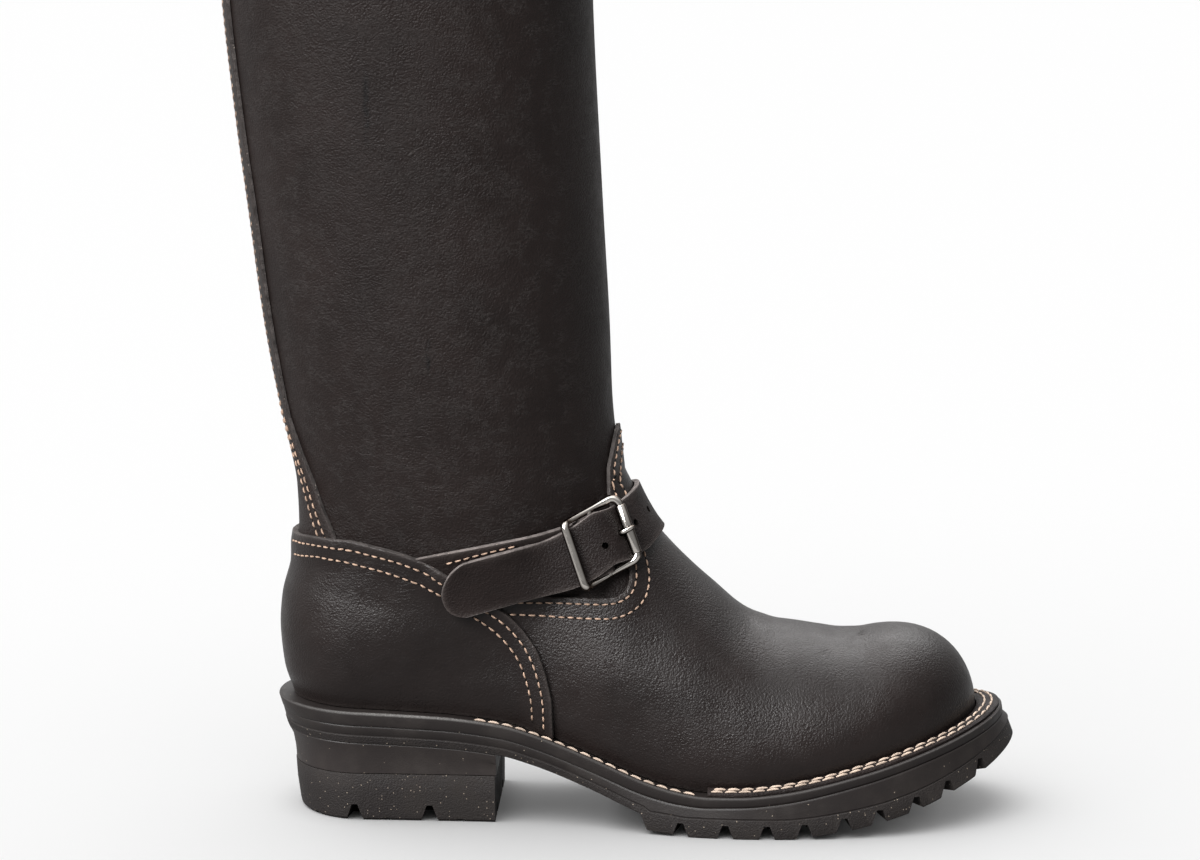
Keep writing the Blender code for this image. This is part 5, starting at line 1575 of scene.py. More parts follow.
def buckle_loop(material):
    """Makes the short strap's turn round the middle bar and the end that lies back on it."""
    inner = BAR_RADIUS + GAP
    outer = inner + LOOP_THICKNESS
    turn = np.radians(np.linspace(-90.0, 80.0, 16))
    far = [(outer * math.cos(a), BAR_OUT + outer * math.sin(a)) for a in turn]
    near = [(inner * math.cos(a), BAR_OUT + inner * math.sin(a)) for a in turn]
    tail = [(s, BAR_OUT + n) for s, n in LOOP_TAIL]
    profile = [(LOOP_START, BAR_OUT - outer)] + far + tail + near[::-1] + [(LOOP_START, BAR_OUT - inner)]
    points = [(s, t, n) for t in (-LOOP_HALF, LOOP_HALF) for s, n in profile]
    return new_mesh("cut", placed(points), prism_faces(len(profile)), material)


STITCH_RINGS = 7
STITCH_SIDES = 8
STITCH_BLUNTNESS = 0.1
STITCH_FULLNESS = 0.6
STITCH_RISE = 0.55
STITCH_DIP, STITCH_DIP_POWER = 0.55, 5

# Rows of stitches, as distances in from a piece's edge.
COUNTER_ROWS = (3.8, 9.6)
STITCH_LIFT = 7.0
VAMP_ROWS = (2.6, 8.6)
STAY_ROWS = (4.4, 8.2)
STAY_FURTHER = 0.52
STAY_SINK = 0.44
COLLAR_ROW = 9.0
SHORT_STRAP_ROW = table("x z", (24.0, 114.2), (38.2, 118.8), (49.0, 121.4), (55.5, 122.8))

# Rows on the ledge of the sole: how far in from the rim, at the sides and at the toe.
WELT_ROWS = ((-2.1, -4.3), (-3.7, -7.3))
WAIST_ROW = -2.4
WAIST_START, WAIST_END = 35.0, WELT_START - 1.0
WELT_ROW_START = WELT_START + 1.5
WELT_ROW_STEPS, WAIST_ROW_STEPS, COLLAR_STEPS = 160, 120, 400
ROW_SHIFT = 0.22
ROW_STEP = 1.5
LEDGE_LIFT = 0.2
WING_START = 96.5
COLLAR_LIFT = 0.5
SHORT_STRAP_TOP = 3.4

# Where the back strip's rows go in and sink: in v, and in height from the throat.
FURTHER_SPAN = (0.97, 1.04)
SINK_SPAN = (THROAT_HEIGHT - 8.0, THROAT_HEIGHT + 12.0)

# The dark lens painted as the shade of a needle hole: its sides, its breadth in threads, its lap over the
# stitches, heights and inner share.
HOLE_SIDES = 10
HOLE_BREADTH = 1.2
HOLE_LAP = 0.25
HOLE_FOOT, HOLE_RISE, HOLE_TOP = 0.12, 0.05, 0.06
HOLE_SHARE = 0.7


def stitch_row(tree, path, length, pitch, start=0.0):
    """Lays stitches along a path of points, on a surface: gives their two ends and their normals."""
    steps = run_of(path)
    first = np.arange(start, steps[-1] - length, pitch)
    rows = []
    for a in first:
        ends = []
        for at in (a, a + length):
            point = [float(np.interp(at, steps, path[:, i])) for i in range(3)]
            place, normal, _, _ = tree.find_nearest(Vector(point))
            ends.append((np.array(place), np.array(normal)))
        rows.append((ends[0][0], ends[1][0], ends[0][1] + ends[1][1]))
    return rows


def stitch_mesh(name, rows, radius, material):
    """Makes all the stitches of one thread as one mesh: each a plump curve that dips in at both ends."""
    starts, ends, normals = (np.array([row[i] for row in rows]) for i in range(3))
    normals /= np.linalg.norm(normals, axis=1, keepdims=True)
    along_it = ends - starts
    along_it /= np.linalg.norm(along_it, axis=1, keepdims=True)
    aside = np.cross(normals, along_it)
    t = np.linspace(0.0, 1.0, STITCH_RINGS)
    plump = np.sin(math.pi * (STITCH_BLUNTNESS + (1 - 2 * STITCH_BLUNTNESS) * t)) ** STITCH_FULLNESS
    height = radius * (STITCH_RISE * plump - STITCH_DIP * np.abs(2 * t - 1) ** STITCH_DIP_POWER)
    middle = starts[:, None] + (ends - starts)[:, None] * t[None, :, None]
    middle = middle + normals[:, None] * height[None, :, None]
    angle = 2 * math.pi * np.arange(STITCH_SIDES) / STITCH_SIDES
    round_it = np.cos(angle)[:, None, None] * aside + np.sin(angle)[:, None, None] * normals
    round_it = round_it.transpose(1, 0, 2)
    verts = middle[:, :, None] + round_it[:, None] * (radius * plump)[None, :, None, None]
    each = STITCH_RINGS * STITCH_SIDES
    faces = []
    for k in range(STITCH_RINGS - 1):
        for s in range(STITCH_SIDES):
            a, b = k * STITCH_SIDES + s, k * STITCH_SIDES + (s + 1) % STITCH_SIDES
            faces.append((a, b, b + STITCH_SIDES, a + STITCH_SIDES))
    caps = [tuple(range(STITCH_SIDES)), tuple(range(each - STITCH_SIDES, each))]
    every = [tuple(i + k * each for i in face) for k in range(len(rows)) for face in faces + caps]
    return make_piece(name, verts.reshape(-1, 3), every, (material,), sharp=STITCH_ANGLE)


def hole_mesh(name, rows, pitch, radius, material):
    """Makes the painted shade of the needle holes at the ends of stitches: small flat dark lenses that sit on
    the leather.
    """
    spots = []
    for start, end, normal in rows:
        ahead = (end - start) / np.linalg.norm(end - start)
        gap = pitch - np.linalg.norm(end - start)
        spots.append((end + ahead * 0.5 * gap, ahead, normal / np.linalg.norm(normal), 0.5 * gap + HOLE_LAP))
    sides = HOLE_SIDES
    turn = 2 * math.pi * np.arange(sides) / sides
    verts, faces = [], []
    for place, ahead, normal, half in spots:
        aside = np.cross(normal, ahead)
        base = len(verts)
        ring = [place + ahead * half * math.cos(a) + aside * radius * math.sin(a) for a in turn]
        verts += [p - normal * HOLE_FOOT for p in ring]
        verts += [place + (p - place) * HOLE_SHARE + normal * HOLE_RISE for p in ring]
        verts.append(place + normal * HOLE_TOP)
        for k in range(sides):
            after = (k + 1) % sides
            faces.append((base + k, base + after, base + sides + after, base + sides + k))
            faces.append((base + sides + k, base + sides + after, base + 2 * sides))
        faces.append(tuple(base + k for k in range(sides - 1, -1, -1)))
    return make_piece(name, verts, faces, (material,), sharp=STITCH_ANGLE)


def panel_path(line, distance, lift=STITCH_LIFT, further=0.0):
    """Gives the points of a line moved in from a piece's edge, and further in above the throat."""
    path = resample(line, ROW_STEP)
    share = 1.0 + further * ease(path[:, 1], *FURTHER_SPAN)
    path = moved_in(path, distance * share[:, None], False)
    return boot_point(path[:, 0], np.clip(path[:, 1], 0.0, 2.0), lift)


def sunk(rows, depth):
    """Lets stitches lie deeper in the leather above the throat, where they were drawn tight."""
    lower = []
    for start, end, normal in rows:
        drop = depth * ease(start[2], *SINK_SPAN) * normal / np.linalg.norm(normal)
        lower.append((start - drop, end - drop, normal))
    return lower


def leather_stitches(length, pitch):
    """Lays the rows of tan stitches on the counter, the vamp, the back strip, the collar and the strap."""
    trees = {name: surface(bpy.data.objects[name]) for name in (
        "counter_leather", "vamp_leather", "back_strip_leather", "shaft_and_lining", "buckle_strap_leather")}
    rows = []
    for hand in (OUTER, INNER):
        for distance in COUNTER_ROWS:
            line = resample(locate(*on_form(shifted(rounded(COUNTER_EDGE), -distance)).T), ROW_STEP)
            path = boot_point(-hand * line[:, 0], line[:, 1], STITCH_LIFT)
            rows += stitch_row(trees["counter_leather"], path[3:-2], length, pitch)
        line = vamp_line()
        wing = line[np.argmax(side_at(0.5 * (1 - np.cos(math.pi * line[:, 0])), line[:, 1])[1] > WING_START):]
        wing = wing if hand == OUTER else np.stack([2 - wing[:, 0], wing[:, 1]], -1)
        for distance in VAMP_ROWS:
            path = panel_path(wing, hand * distance)
            rows += stitch_row(trees["vamp_leather"], path[4:-1], length, pitch)
        line = stay_line()
        for distance in STAY_ROWS:
            path = panel_path(line * (-hand, 1), -hand * distance, further=STAY_FURTHER)
            rows += sunk(stitch_row(trees["back_strip_leather"], path[8:-3], length, pitch), STAY_SINK)
    u = np.linspace(0.0, 2.0, COLLAR_STEPS)
    v = 2.0 - COLLAR_ROW / (COLLAR_HEIGHT - THROAT_HEIGHT)
    path = boot_point(u, np.full(len(u), v), COLLAR_LIFT)
    rows += stitch_row(trees["shaft_and_lining"], path, length, pitch)
    line = rounded(SHORT_STRAP_ROW)
    path = skin(line[:, 0], line[:, 1], OUTER, np.full(len(line), SHORT_STRAP_TOP))
    return rows + stitch_row(trees["buckle_strap_leather"], path, length, pitch)


def sole_stitches(length, pitch):
    """Lays the cream stitches on the ledge: one row along the waist and two round the toe."""
    rows = []
    tree = surface(bpy.data.objects["welt_strip"])
    for k, (side, toe) in enumerate(WELT_ROWS):
        line = round_toe(WELT_ROW_STEPS, WELT_ROW_START, side, toe)
        path = at_height(line, lambda x: welt_top(x) + LEDGE_LIFT)
        rows += stitch_row(tree, path, length, pitch, ROW_SHIFT * k * pitch)
    tree = surface(bpy.data.objects["midsole_rubber"])
    for hand in (OUTER, INNER):
        x = np.linspace(WAIST_START, WAIST_END, WAIST_ROW_STEPS)
        y = toe_swing(x) + hand * half_plan(x, hand, WAIST_ROW)
        path = np.stack([x, y, rim_height(x) + LEDGE_LIFT], -1)
        rows += stitch_row(tree, path, length, pitch)
    return rows


def add(tree, kind, sockets=None, **settings):
    """Adds a node, with its settings, and its sockets set to values or linked to other sockets."""
    made = tree.nodes.new(kind)
    for key, value in settings.items():
        setattr(made, key, value)
    for key, value in (sockets or {}).items():
        if isinstance(value, bpy.types.NodeSocket):
            tree.links.new(value, made.inputs[key])
        else:
            made.inputs[key].default_value = value
    return made


def math_of(tree, operation, a, b=0.0, clamp=False):
    """Adds a sum, product or other step on two values."""
    return add(tree, "ShaderNodeMath", {0: a, 1: b}, operation=operation, use_clamp=clamp).outputs[0]


def span(tree, value, low, high, out_low=0.0, out_high=1.0):
    """Maps a value from one span to another, smoothly."""
    sockets = {"Value": value, 1: low, 2: high, 3: out_low, 4: out_high}
    return add(tree, "ShaderNodeMapRange", sockets, interpolation_type="SMOOTHSTEP").outputs[0]


def mixed(tree, factor, a, b):
    """Adds a mix of two colours."""
    return add(tree, "ShaderNodeMix", {0: factor, 6: a, 7: b}, data_type="RGBA").outputs[2]


def times(tree, a, b):
    """Adds a product of two values."""
    return math_of(tree, "MULTIPLY", a, b)


def plus(tree, a, b, clamp=False):
    """Adds a sum of two values."""
    return math_of(tree, "ADD", a, b, clamp)


def vector_of(tree, operation, *values):
    """Adds a step on vectors."""
    return add(tree, "ShaderNodeVectorMath", dict(enumerate(values)), operation=operation).outputs[0]


def noise(tree, place, scale, detail, output="Fac", **more):
    """Adds noise at a place: its value, or its colour."""
    sockets = {"Vector": place, "Scale": scale, "Detail": detail, **more}
    return add(tree, "ShaderNodeTexNoise", sockets).outputs[output]


def cells_at(tree, place, scale, feature="F1"):
    """Adds cells at a place: gives their sockets."""
    return add(tree, "ShaderNodeTexVoronoi", {"Vector": place, "Scale": scale}, feature=feature).outputs


def object_place(tree):
    """Adds the place on the boot, which all pieces share."""
    return add(tree, "ShaderNodeTexCoord").outputs["Object"]


def ellipsoid(tree, place, given):
    """Adds the way from an ellipsoid's middle, and how far out it leads: 1 on the ellipsoid."""
    off = vector_of(tree, "SUBTRACT", place, given.outputs["Middle"])
    near = vector_of(tree, "DIVIDE", off, given.outputs["Reach"])
    return off, add(tree, "ShaderNodeVectorMath", {0: near}, operation="LENGTH").outputs["Value"]


def effect(name, outputs, **inputs):
    """Starts a shader group with named sockets: gives its tree, its input node and its output node."""
    tree = bpy.data.node_groups.new(name, "ShaderNodeTree")
    for label, value in inputs.items():
        kind = "NodeSocketVector" if isinstance(value, tuple) else "NodeSocketFloat"
        tree.interface.new_socket(label, in_out="INPUT", socket_type=kind).default_value = value
    for label in outputs:
        tree.interface.new_socket(label, in_out="OUTPUT", socket_type="NodeSocketFloat")
    return tree, tree.nodes.new("NodeGroupInput"), tree.nodes.new("NodeGroupOutput")


def finish_effect(tree, out, **values):
    """Links values to the sockets of a shader group's output."""
    for label, value in values.items():
        tree.links.new(value, out.inputs[label])
    return tree


# The grain: how far its pebbles are bent, the finer noise in them, and the slant and scale of its crinkles.
PEBBLE_WARP = (0.0009, 0.0009, 0.0009)
FINE_SHARE = 2.2
LOW_SHARE = 6.0
CRINKLE_TURN = (0.0, 0.3, 0.0)
CRINKLE_STRETCH = (1.0, 1.0, 2.4)
CRINKLE_SCALE = 300.0
CRINKLE_BREADTH = 0.045


def leather_grain():
    """Builds the grain of smooth oiled leather: its height, its cloudy tone, its gloss and its crinkles."""
    tree, given, out = effect("leather_grain", ("Height", "Tone", "Gloss", "Crinkle"),
                              Pebbles=1300.0, Clouds=22.0)
    place = object_place(tree)
    pebbles, clouds = given.outputs["Pebbles"], given.outputs["Clouds"]
    warp = noise(tree, place, pebbles, 1.0, "Color")
    moved = vector_of(tree, "MULTIPLY_ADD", warp, PEBBLE_WARP, place)
    cells = cells_at(tree, moved, pebbles)["Distance"]
    fine = noise(tree, place, times(tree, pebbles, FINE_SHARE), 2.0)
    low = noise(tree, place, times(tree, clouds, LOW_SHARE), 3.0)
    height = plus(tree, times(tree, cells, -0.6), times(tree, fine, 0.45))
    height = plus(tree, height, times(tree, low, 0.3))
    cloud = noise(tree, place, clouds, 5.0, Roughness=0.6)
    tone = plus(tree, span(tree, cloud, 0.3, 0.72), times(tree, cells, 0.25), clamp=True)
    gloss = plus(tree, times(tree, low, 0.6), times(tree, fine, 0.4))
    slanted = add(tree, "ShaderNodeMapping",
                  {"Vector": place, "Rotation": CRINKLE_TURN, "Scale": CRINKLE_STRETCH}).outputs[0]
    ridge = noise(tree, slanted, CRINKLE_SCALE, 3.0, Roughness=0.6, Distortion=0.5)
    off = math_of(tree, "ABSOLUTE", math_of(tree, "SUBTRACT", ridge, 0.5))
    lines = span(tree, off, 0.0, CRINKLE_BREADTH, 1.0, 0.0)
    crinkle = times(tree, lines, span(tree, low, 0.42, 0.66))
    return finish_effect(tree, out, Height=height, Tone=tone, Gloss=gloss, Crinkle=crinkle)


# Fine wrinkles: the scale and reach of their bends, and the scale of the gaps in them.
WRINKLE_BEND_SCALE = 55.0
WRINKLE_BEND = (0.011, 0.011, 0.011)
WRINKLE_GAP_SCALE = 140.0


def fine_wrinkles():
    """Builds a patch of thin wrinkle lines: a mask inside an ellipsoid, fading at its edge."""
    tree, given, out = effect("fine_wrinkles", ("Mask",), Middle=(0.0, 0.0, 0.0), Reach=(0.03, 0.03, 0.03),
                              Stretch=(60.0, 60.0, 320.0), Tilt=0.0, Breadth=0.035)
    place = object_place(tree)
    off, far = ellipsoid(tree, place, given)
    patch = span(tree, far, 0.35, 1.0, 1.0, 0.0)
    warp = noise(tree, place, WRINKLE_BEND_SCALE, 2.0, "Color")
    bent_place = vector_of(tree, "MULTIPLY_ADD", warp, WRINKLE_BEND, off)
    parts = add(tree, "ShaderNodeSeparateXYZ", {0: bent_place}).outputs
    rise = plus(tree, parts["Z"], times(tree, parts["X"], given.outputs["Tilt"]))
    sloped = add(tree, "ShaderNodeCombineXYZ", {0: parts["X"], 1: parts["Y"], 2: rise}).outputs[0]
    long_place = vector_of(tree, "MULTIPLY", sloped, given.outputs["Stretch"])
    edge = cells_at(tree, long_place, 1.0, "DISTANCE_TO_EDGE")["Distance"]
    lines = span(tree, math_of(tree, "DIVIDE", edge, given.outputs["Breadth"]), 0.0, 1.0, 1.0, 0.0)
    broken = noise(tree, place, WRINKLE_GAP_SCALE, 2.0)
    lines = times(tree, lines, span(tree, broken, 0.42, 0.62))
    return finish_effect(tree, out, Mask=times(tree, lines, patch))


SCUFF_GAP_SCALE = 260.0


def dark_scuff():
    """Builds a scuff: a mask inside a thin ellipsoid, broken up by noise."""
    tree, given, out = effect("dark_scuff", ("Mask",), Middle=(0.0, 0.0, 0.0), Reach=(0.002, 0.05, 0.02))
    place = object_place(tree)
    far = ellipsoid(tree, place, given)[1]
    broken = noise(tree, place, SCUFF_GAP_SCALE, 3.0)
    mask = times(tree, span(tree, far, 0.2, 1.0, 1.0, 0.0), span(tree, broken, 0.35, 0.6))
    return finish_effect(tree, out, Mask=mask)


FILM_SCALE = 38.0
STIPPLE_SCALE = 1500.0


def dust_specks():
    """Builds dust on rubber: scattered light specks, a thin film, and the stipple of the moulding."""
    tree, given, out = effect("dust_specks", ("Specks", "Film", "Stipple"), Density=800.0, Share=0.2)
    place = object_place(tree)
    cells = cells_at(tree, place, given.outputs["Density"])
    pick = add(tree, "ShaderNodeSeparateColor", {"Color": cells["Color"]}).outputs["Red"]
    kept = math_of(tree, "LESS_THAN", pick, given.outputs["Share"])
    specks = times(tree, span(tree, cells["Distance"], 0.08, 0.26, 1.0, 0.0), kept)
    film = span(tree, noise(tree, place, FILM_SCALE, 6.0, Roughness=0.7), 0.4, 0.75)
    return finish_effect(tree, out, Specks=specks, Film=film, Stipple=noise(tree, place, STIPPLE_SCALE, 2.0))


def new_material(name):
    """Starts a material: gives it, its tree and its shader."""
    material = bpy.data.materials.new(name)
    material.use_nodes = True
    return material, material.node_tree, material.node_tree.nodes["Principled BSDF"]


def placed_group(tree, group, **values):
    """Places a shader group in a material, with its own values."""
    made = tree.nodes.new("ShaderNodeGroup")
    made.node_tree = group
    for key, value in values.items():
        made.inputs[key].default_value = value
    return made


def bump(tree, shader, height, depth, strength):
    """Feeds a height to the shader's normal."""
    made = add(tree, "ShaderNodeBump", {"Height": height, "Distance": depth, "Strength": strength})
    tree.links.new(made.outputs["Normal"], shader.inputs["Normal"])


def dressed(shader, **values):
    """Sets a shader's sockets to values, or links them; a socket's spaces are written as underlines."""
    for key, value in values.items():
        socket = shader.inputs[key.replace("_", " ")]
        if isinstance(value, bpy.types.NodeSocket):
            shader.id_data.links.new(value, socket)
        else:
            socket.default_value = value


def colour(value):
    """Gives a property's colour with its alpha."""
    return (value[0], value[1], value[2], 1.0)


def shade(value, share):
    """Gives a property's colour made darker or lighter."""
    return (value[0] * share, value[1] * share, value[2] * share, 1.0)


def edge_wear(tree):
    """Adds the mark that the meshes carry: worn edges on the leather, and the painted highlight on the
    midsole's upper edge.
    """
    return add(tree, "ShaderNodeAttribute", attribute_name="edge_wear").outputs["Fac"]


WRINKLE_TINT = (0.04, 0.034, 0.032, 1.0)
SCUFF_TINT = (0.004, 0.003, 0.003, 1.0)
EDGE_TINT = (0.1, 0.084, 0.078, 1.0)
# Pale grey of the painted highlight along the midsole's upper edge.
RIM_HIGHLIGHT_TINT = (0.3, 0.29, 0.28, 1.0)
# Dark brown painted on the nickel where it is seen edge-on, a painted reflection of dark surroundings.
NICKEL_SHADE = (0.06, 0.042, 0.032, 1.0)
FIBRE_TINT = (0.3, 0.25, 0.22, 1.0)
# Near-black tints painted as the shade inside needle holes and the straps' holes.
HOLE_SHADE_TINTS = ((0.003, 0.0025, 0.002, 1.0), (0.009, 0.007, 0.006, 1.0))
WHITE = (1.0, 1.0, 1.0, 1.0)

# Heights of the leather's crinkles and wrinkles beside its grain, and how its gloss spreads about a value.
CRINKLE_RISE = 0.7
WRINKLE_DEPTH = 0.8
SMOOTHER, ROUGHER = 0.08, 0.12


def leather(name, effects, tint, shares, rough, patches=(), worn=0.0, shine=0.12, crinkled=0.0, scuffs=(),
            depth=0.0005):
    """Makes oiled leather: cloudy tone, grain, patches of fine wrinkles and lighter edges."""
    material, tree, shader = new_material(name)
    grain = placed_group(tree, effects["grain"], Pebbles=1100.0).outputs
    base = mixed(tree, grain["Tone"], shade(tint, shares[0]), shade(tint, shares[1]))
    height = grain["Height"]
    if crinkled:
        mask = times(tree, grain["Crinkle"], crinkled)
        base = mixed(tree, mask, base, WRINKLE_TINT)
        height = plus(tree, height, times(tree, mask, CRINKLE_RISE))
    for middle, reach in scuffs:
        mask = placed_group(tree, effects["scuff"], Middle=middle, Reach=reach).outputs["Mask"]
        base = mixed(tree, mask, base, SCUFF_TINT)
    for middle, reach, stretch, tilt, strength in patches:
        lines = placed_group(tree, effects["wrinkles"], Middle=middle, Reach=reach, Stretch=stretch,
                             Tilt=tilt)
        mask = times(tree, lines.outputs["Mask"], strength)
        base = mixed(tree, mask, base, WRINKLE_TINT)
        height = math_of(tree, "SUBTRACT", height, times(tree, mask, WRINKLE_DEPTH))
    if worn:
        base = mixed(tree, times(tree, edge_wear(tree), times(tree, grain["Gloss"], worn)), base, EDGE_TINT)
    gloss = span(tree, grain["Gloss"], 0.3, 0.75, rough - SMOOTHER, rough + ROUGHER)
    dressed(shader, Base_Color=base, Roughness=gloss, Specular_IOR_Level=shine)
    bump(tree, shader, height, depth, 0.8)
    return material


def cut_edge_leather(name, effects, tint):
    """Makes the rough, paler cut edge of leather, with loose fibres on it."""
    material, tree, shader = new_material(name)
    grain = placed_group(tree, effects["grain"], Pebbles=1600.0, Clouds=160.0).outputs
    base = mixed(tree, grain["Tone"], shade(tint, 0.45), shade(tint, 1.3))
    fibres = placed_group(tree, effects["dust"], Density=600.0, Share=0.35).outputs["Specks"]
    base = mixed(tree, times(tree, fibres, 0.7), base, FIBRE_TINT)
    dressed(shader, Base_Color=base, Roughness=0.8, Specular_IOR_Level=0.25)
    bump(tree, shader, grain["Height"], 0.0004, 0.8)
    return material


def rubber(name, effects, tint, dust, rough=0.42, specks=0.02, film=0.05, stipple=0.0001):
    """Makes black rubber with a film of dust, light specks, the moulding's stipple and a painted highlight on
    a marked edge.
    """
    material, tree, shader = new_material(name)
    dirt = placed_group(tree, effects["dust"], Share=specks).outputs
    base = mixed(tree, times(tree, dirt["Film"], film), colour(tint), shade(dust, 0.4))
    base = mixed(tree, times(tree, dirt["Specks"], 0.75), base, colour(dust))
    # Painted highlight: the marked edge is mixed towards pale grey, broken by the stipple.
    base = mixed(tree, times(tree, edge_wear(tree), dirt["Stipple"]), base, RIM_HIGHLIGHT_TINT)
    gloss = span(tree, dirt["Film"], 0.0, 1.0, rough, rough + 0.2)
    dressed(shader, Base_Color=base, Roughness=gloss, Specular_IOR_Level=0.26)
    bump(tree, shader, dirt["Stipple"], stipple, 0.7)
    return material


def nickel_plate(effects, tint):
    """Makes bright nickel with faint handling marks, and a painted reflection: its colour turns dark brown
    where the rod is seen edge-on.
    """
    material, tree, shader = new_material("nickel_plate")
    marks = placed_group(tree, effects["grain"], Pebbles=160.0, Clouds=120.0).outputs
    plate = mixed(tree, marks["Tone"], shade(tint, 0.86), colour(tint))
    # Painted reflection: the colour darkens towards a grazing view, standing in for dark surroundings
    # mirrored in the plate.
    away = add(tree, "ShaderNodeLayerWeight", {"Blend": 0.5}).outputs["Facing"]
    base = mixed(tree, span(tree, away, 0.03, 0.42), plate, NICKEL_SHADE)
    dressed(shader, Base_Color=base, Roughness=span(tree, marks["Gloss"], 0.3, 0.8, 0.1, 0.2), Metallic=1.0)
    bump(tree, shader, marks["Height"], 0.00004, 0.4)
    return material


def thread(name, effects, tint):
    """Makes waxed thread: a twisted lay and a mottled colour."""
    material, tree, shader = new_material(name)
    grain = placed_group(tree, effects["grain"], Pebbles=2600.0, Clouds=260.0).outputs
    dressed(shader, Base_Color=mixed(tree, grain["Tone"], shade(tint, 0.5), colour(tint)), Roughness=0.72)
    bump(tree, shader, grain["Height"], 0.0003, 0.8)
    return material


def needle_hole(effects):
    """Makes the near-black painted shade of the needle holes, also given to the walls of the straps' holes.
    """
    material, tree, shader = new_material("needle_hole")
    tone = placed_group(tree, effects["grain"], Pebbles=2000.0).outputs["Tone"]
    dressed(shader, Base_Color=mixed(tree, tone, *HOLE_SHADE_TINTS), Roughness=0.9, Specular_IOR_Level=0.1)
    return material


# Patches of fine wrinkles, in metres: middle, reach, stretch of their lines, their fall, and strength.
SHAFT_PATCHES = (
    ((-0.005, -0.045, 0.164), (0.036, 0.05, 0.02), (50.0, 50.0, 420.0), 0.42, 0.5),
    ((0.012, -0.05, 0.142), (0.03, 0.05, 0.012), (50.0, 50.0, 420.0), 0.1, 0.35),
    ((0.028, -0.055, 0.286), (0.036, 0.05, 0.032), (90.0, 60.0, 420.0), -0.25, 0.4),
    ((0.0, 0.05, 0.22), (0.05, 0.05, 0.05), (70.0, 60.0, 300.0), 0.0, 0.25),
)
FOOT_PATCHES = (
    ((-0.01, -0.036, 0.105), (0.034, 0.05, 0.016), (60.0, 60.0, 460.0), 0.0, 0.3),
    ((0.153, 0.0, 0.075), (0.022, 0.06, 0.02), (420.0, 60.0, 90.0), 0.0, 0.3),
)

# Dark scuffs on the shaft, in metres: middle and reach.
SHAFT_SCUFFS = (
    ((-0.006, -0.05, 0.307), (0.0022, 0.05, 0.022)),
    ((0.018, -0.05, 0.204), (0.0016, 0.05, 0.01)),
)


def length_property(name, description, default, low, high):
    """Gives a property that is a length in metres."""
    return bpy.props.FloatProperty(name=name, description=description, default=default, min=low, max=high,
                                   unit="LENGTH")


def tint_property(name, description, default):
    """Gives a colour property."""
    return bpy.props.FloatVectorProperty(name=name, description=description, default=default, size=3,
                                         min=0.0, max=1.0, subtype="COLOR")


def strength_property(name, description, default, high=100.0):
    """Gives a property that is a strength of light."""
    return bpy.props.FloatProperty(name=name, description=description, default=default, min=0.0, max=high)


def angle_property(name, description, degrees):
    """Gives a property that is an angle."""
    return bpy.props.FloatProperty(name=name, description=description, default=math.radians(degrees),
                                   min=0.0, max=math.pi, subtype="ANGLE")


class BootSizes(bpy.types.PropertyGroup):
    """Sizes that a user may change."""
    vamp: length_property("Vamp", "Thickness of the vamp's leather", VAMP_THICKNESS * MM, 0.001, 0.004)
    counter: length_property("Counter", "Thickness of the counter's leather",
                             COUNTER_THICKNESS * MM, 0.001, 0.004)
    stay: length_property("Back strip", "Thickness of the back strip", STAY_THICKNESS * MM, 0.001, 0.003)
    strap: length_property("Strap", "Thickness of the instep strap", STRAP_THICKNESS * MM, 0.001, 0.003)
    stitch: length_property("Stitch", "Length of a stitch in the leather", 0.0027, 0.001, 0.006)
    pitch: length_property("Pitch", "Distance from one leather stitch to the next", 0.0039, 0.002, 0.008)
    thread: length_property("Thread", "Radius of the leather's thread", 0.00042, 0.0002, 0.001)
    welt_stitch: length_property("Sole stitch", "Length of a stitch in the ledge", 0.0049, 0.002, 0.008)
    welt_pitch: length_property("Sole pitch", "Distance between the ledge's stitches", 0.0059, 0.003, 0.01)
    welt_thread: length_property("Sole thread", "Radius of the sole's thread", 0.00054, 0.0003, 0.0015)


class BootColours(bpy.types.PropertyGroup):
    """Colours that a user may change."""
    shaft: tint_property("Shaft", "Leather of the shaft", (0.0125, 0.0086, 0.0078))
    foot: tint_property("Foot", "Leather of the vamp and the counter", (0.0102, 0.0071, 0.0065))
    strap: tint_property("Straps", "Leather of the two straps", (0.0132, 0.0094, 0.0087))
    edge: tint_property("Cut edges", "Cut edges of the leather", (0.13, 0.112, 0.106))
    lining: tint_property("Lining", "Lining of the shaft", (0.16, 0.1, 0.06))
    insole: tint_property("Insole", "Board under the foot", (0.28, 0.19, 0.11))
    rubber: tint_property("Rubber", "Rubber of the sole", (0.0132, 0.0107, 0.0102))
    dust: tint_property("Dust", "Dust on the sole", (0.34, 0.28, 0.22))
    nickel: tint_property("Nickel", "Plating of the buckle", (0.9, 0.85, 0.79))
    thread: tint_property("Thread", "Thread in the leather", (0.46, 0.31, 0.225))
    welt_thread: tint_property("Sole thread", "Thread in the sole's ledge", (0.55, 0.43, 0.34))


class BootStudio(bpy.types.PropertyGroup):
    """Light and floor of the studio."""
    floor: tint_property("Floor", "Pale floor and backdrop", (0.8, 0.8, 0.8))
    glow: strength_property("Floor glow", "Light that the floor gives off", 0.1, 1.0)
    key: strength_property("Key light", "Strength of the broad light from the left in front", 5.7)
    spread: angle_property("Key spread", "Angle that the key light fills", 40.0)
    back: strength_property("Back light", "Strength of the light from above and behind", 2.05)
    back_spread: angle_property("Back spread", "Angle that the back light fills", 50.0)
    top: strength_property("Top light", "Strength of the light over boot and floor", 1.45)
    top_spread: angle_property("Top spread", "Angle that the top light fills", 80.0)
    front: strength_property("Front", "Light from the surround in front of the boot", 0.2, 4.0)
    behind: strength_property("Behind", "Light from the surround behind the boot", 0.85, 4.0)
    backdrop: strength_property("Backdrop", "Brightness of the backdrop in the picture", 1.0, 4.0)


FINISHES = {}


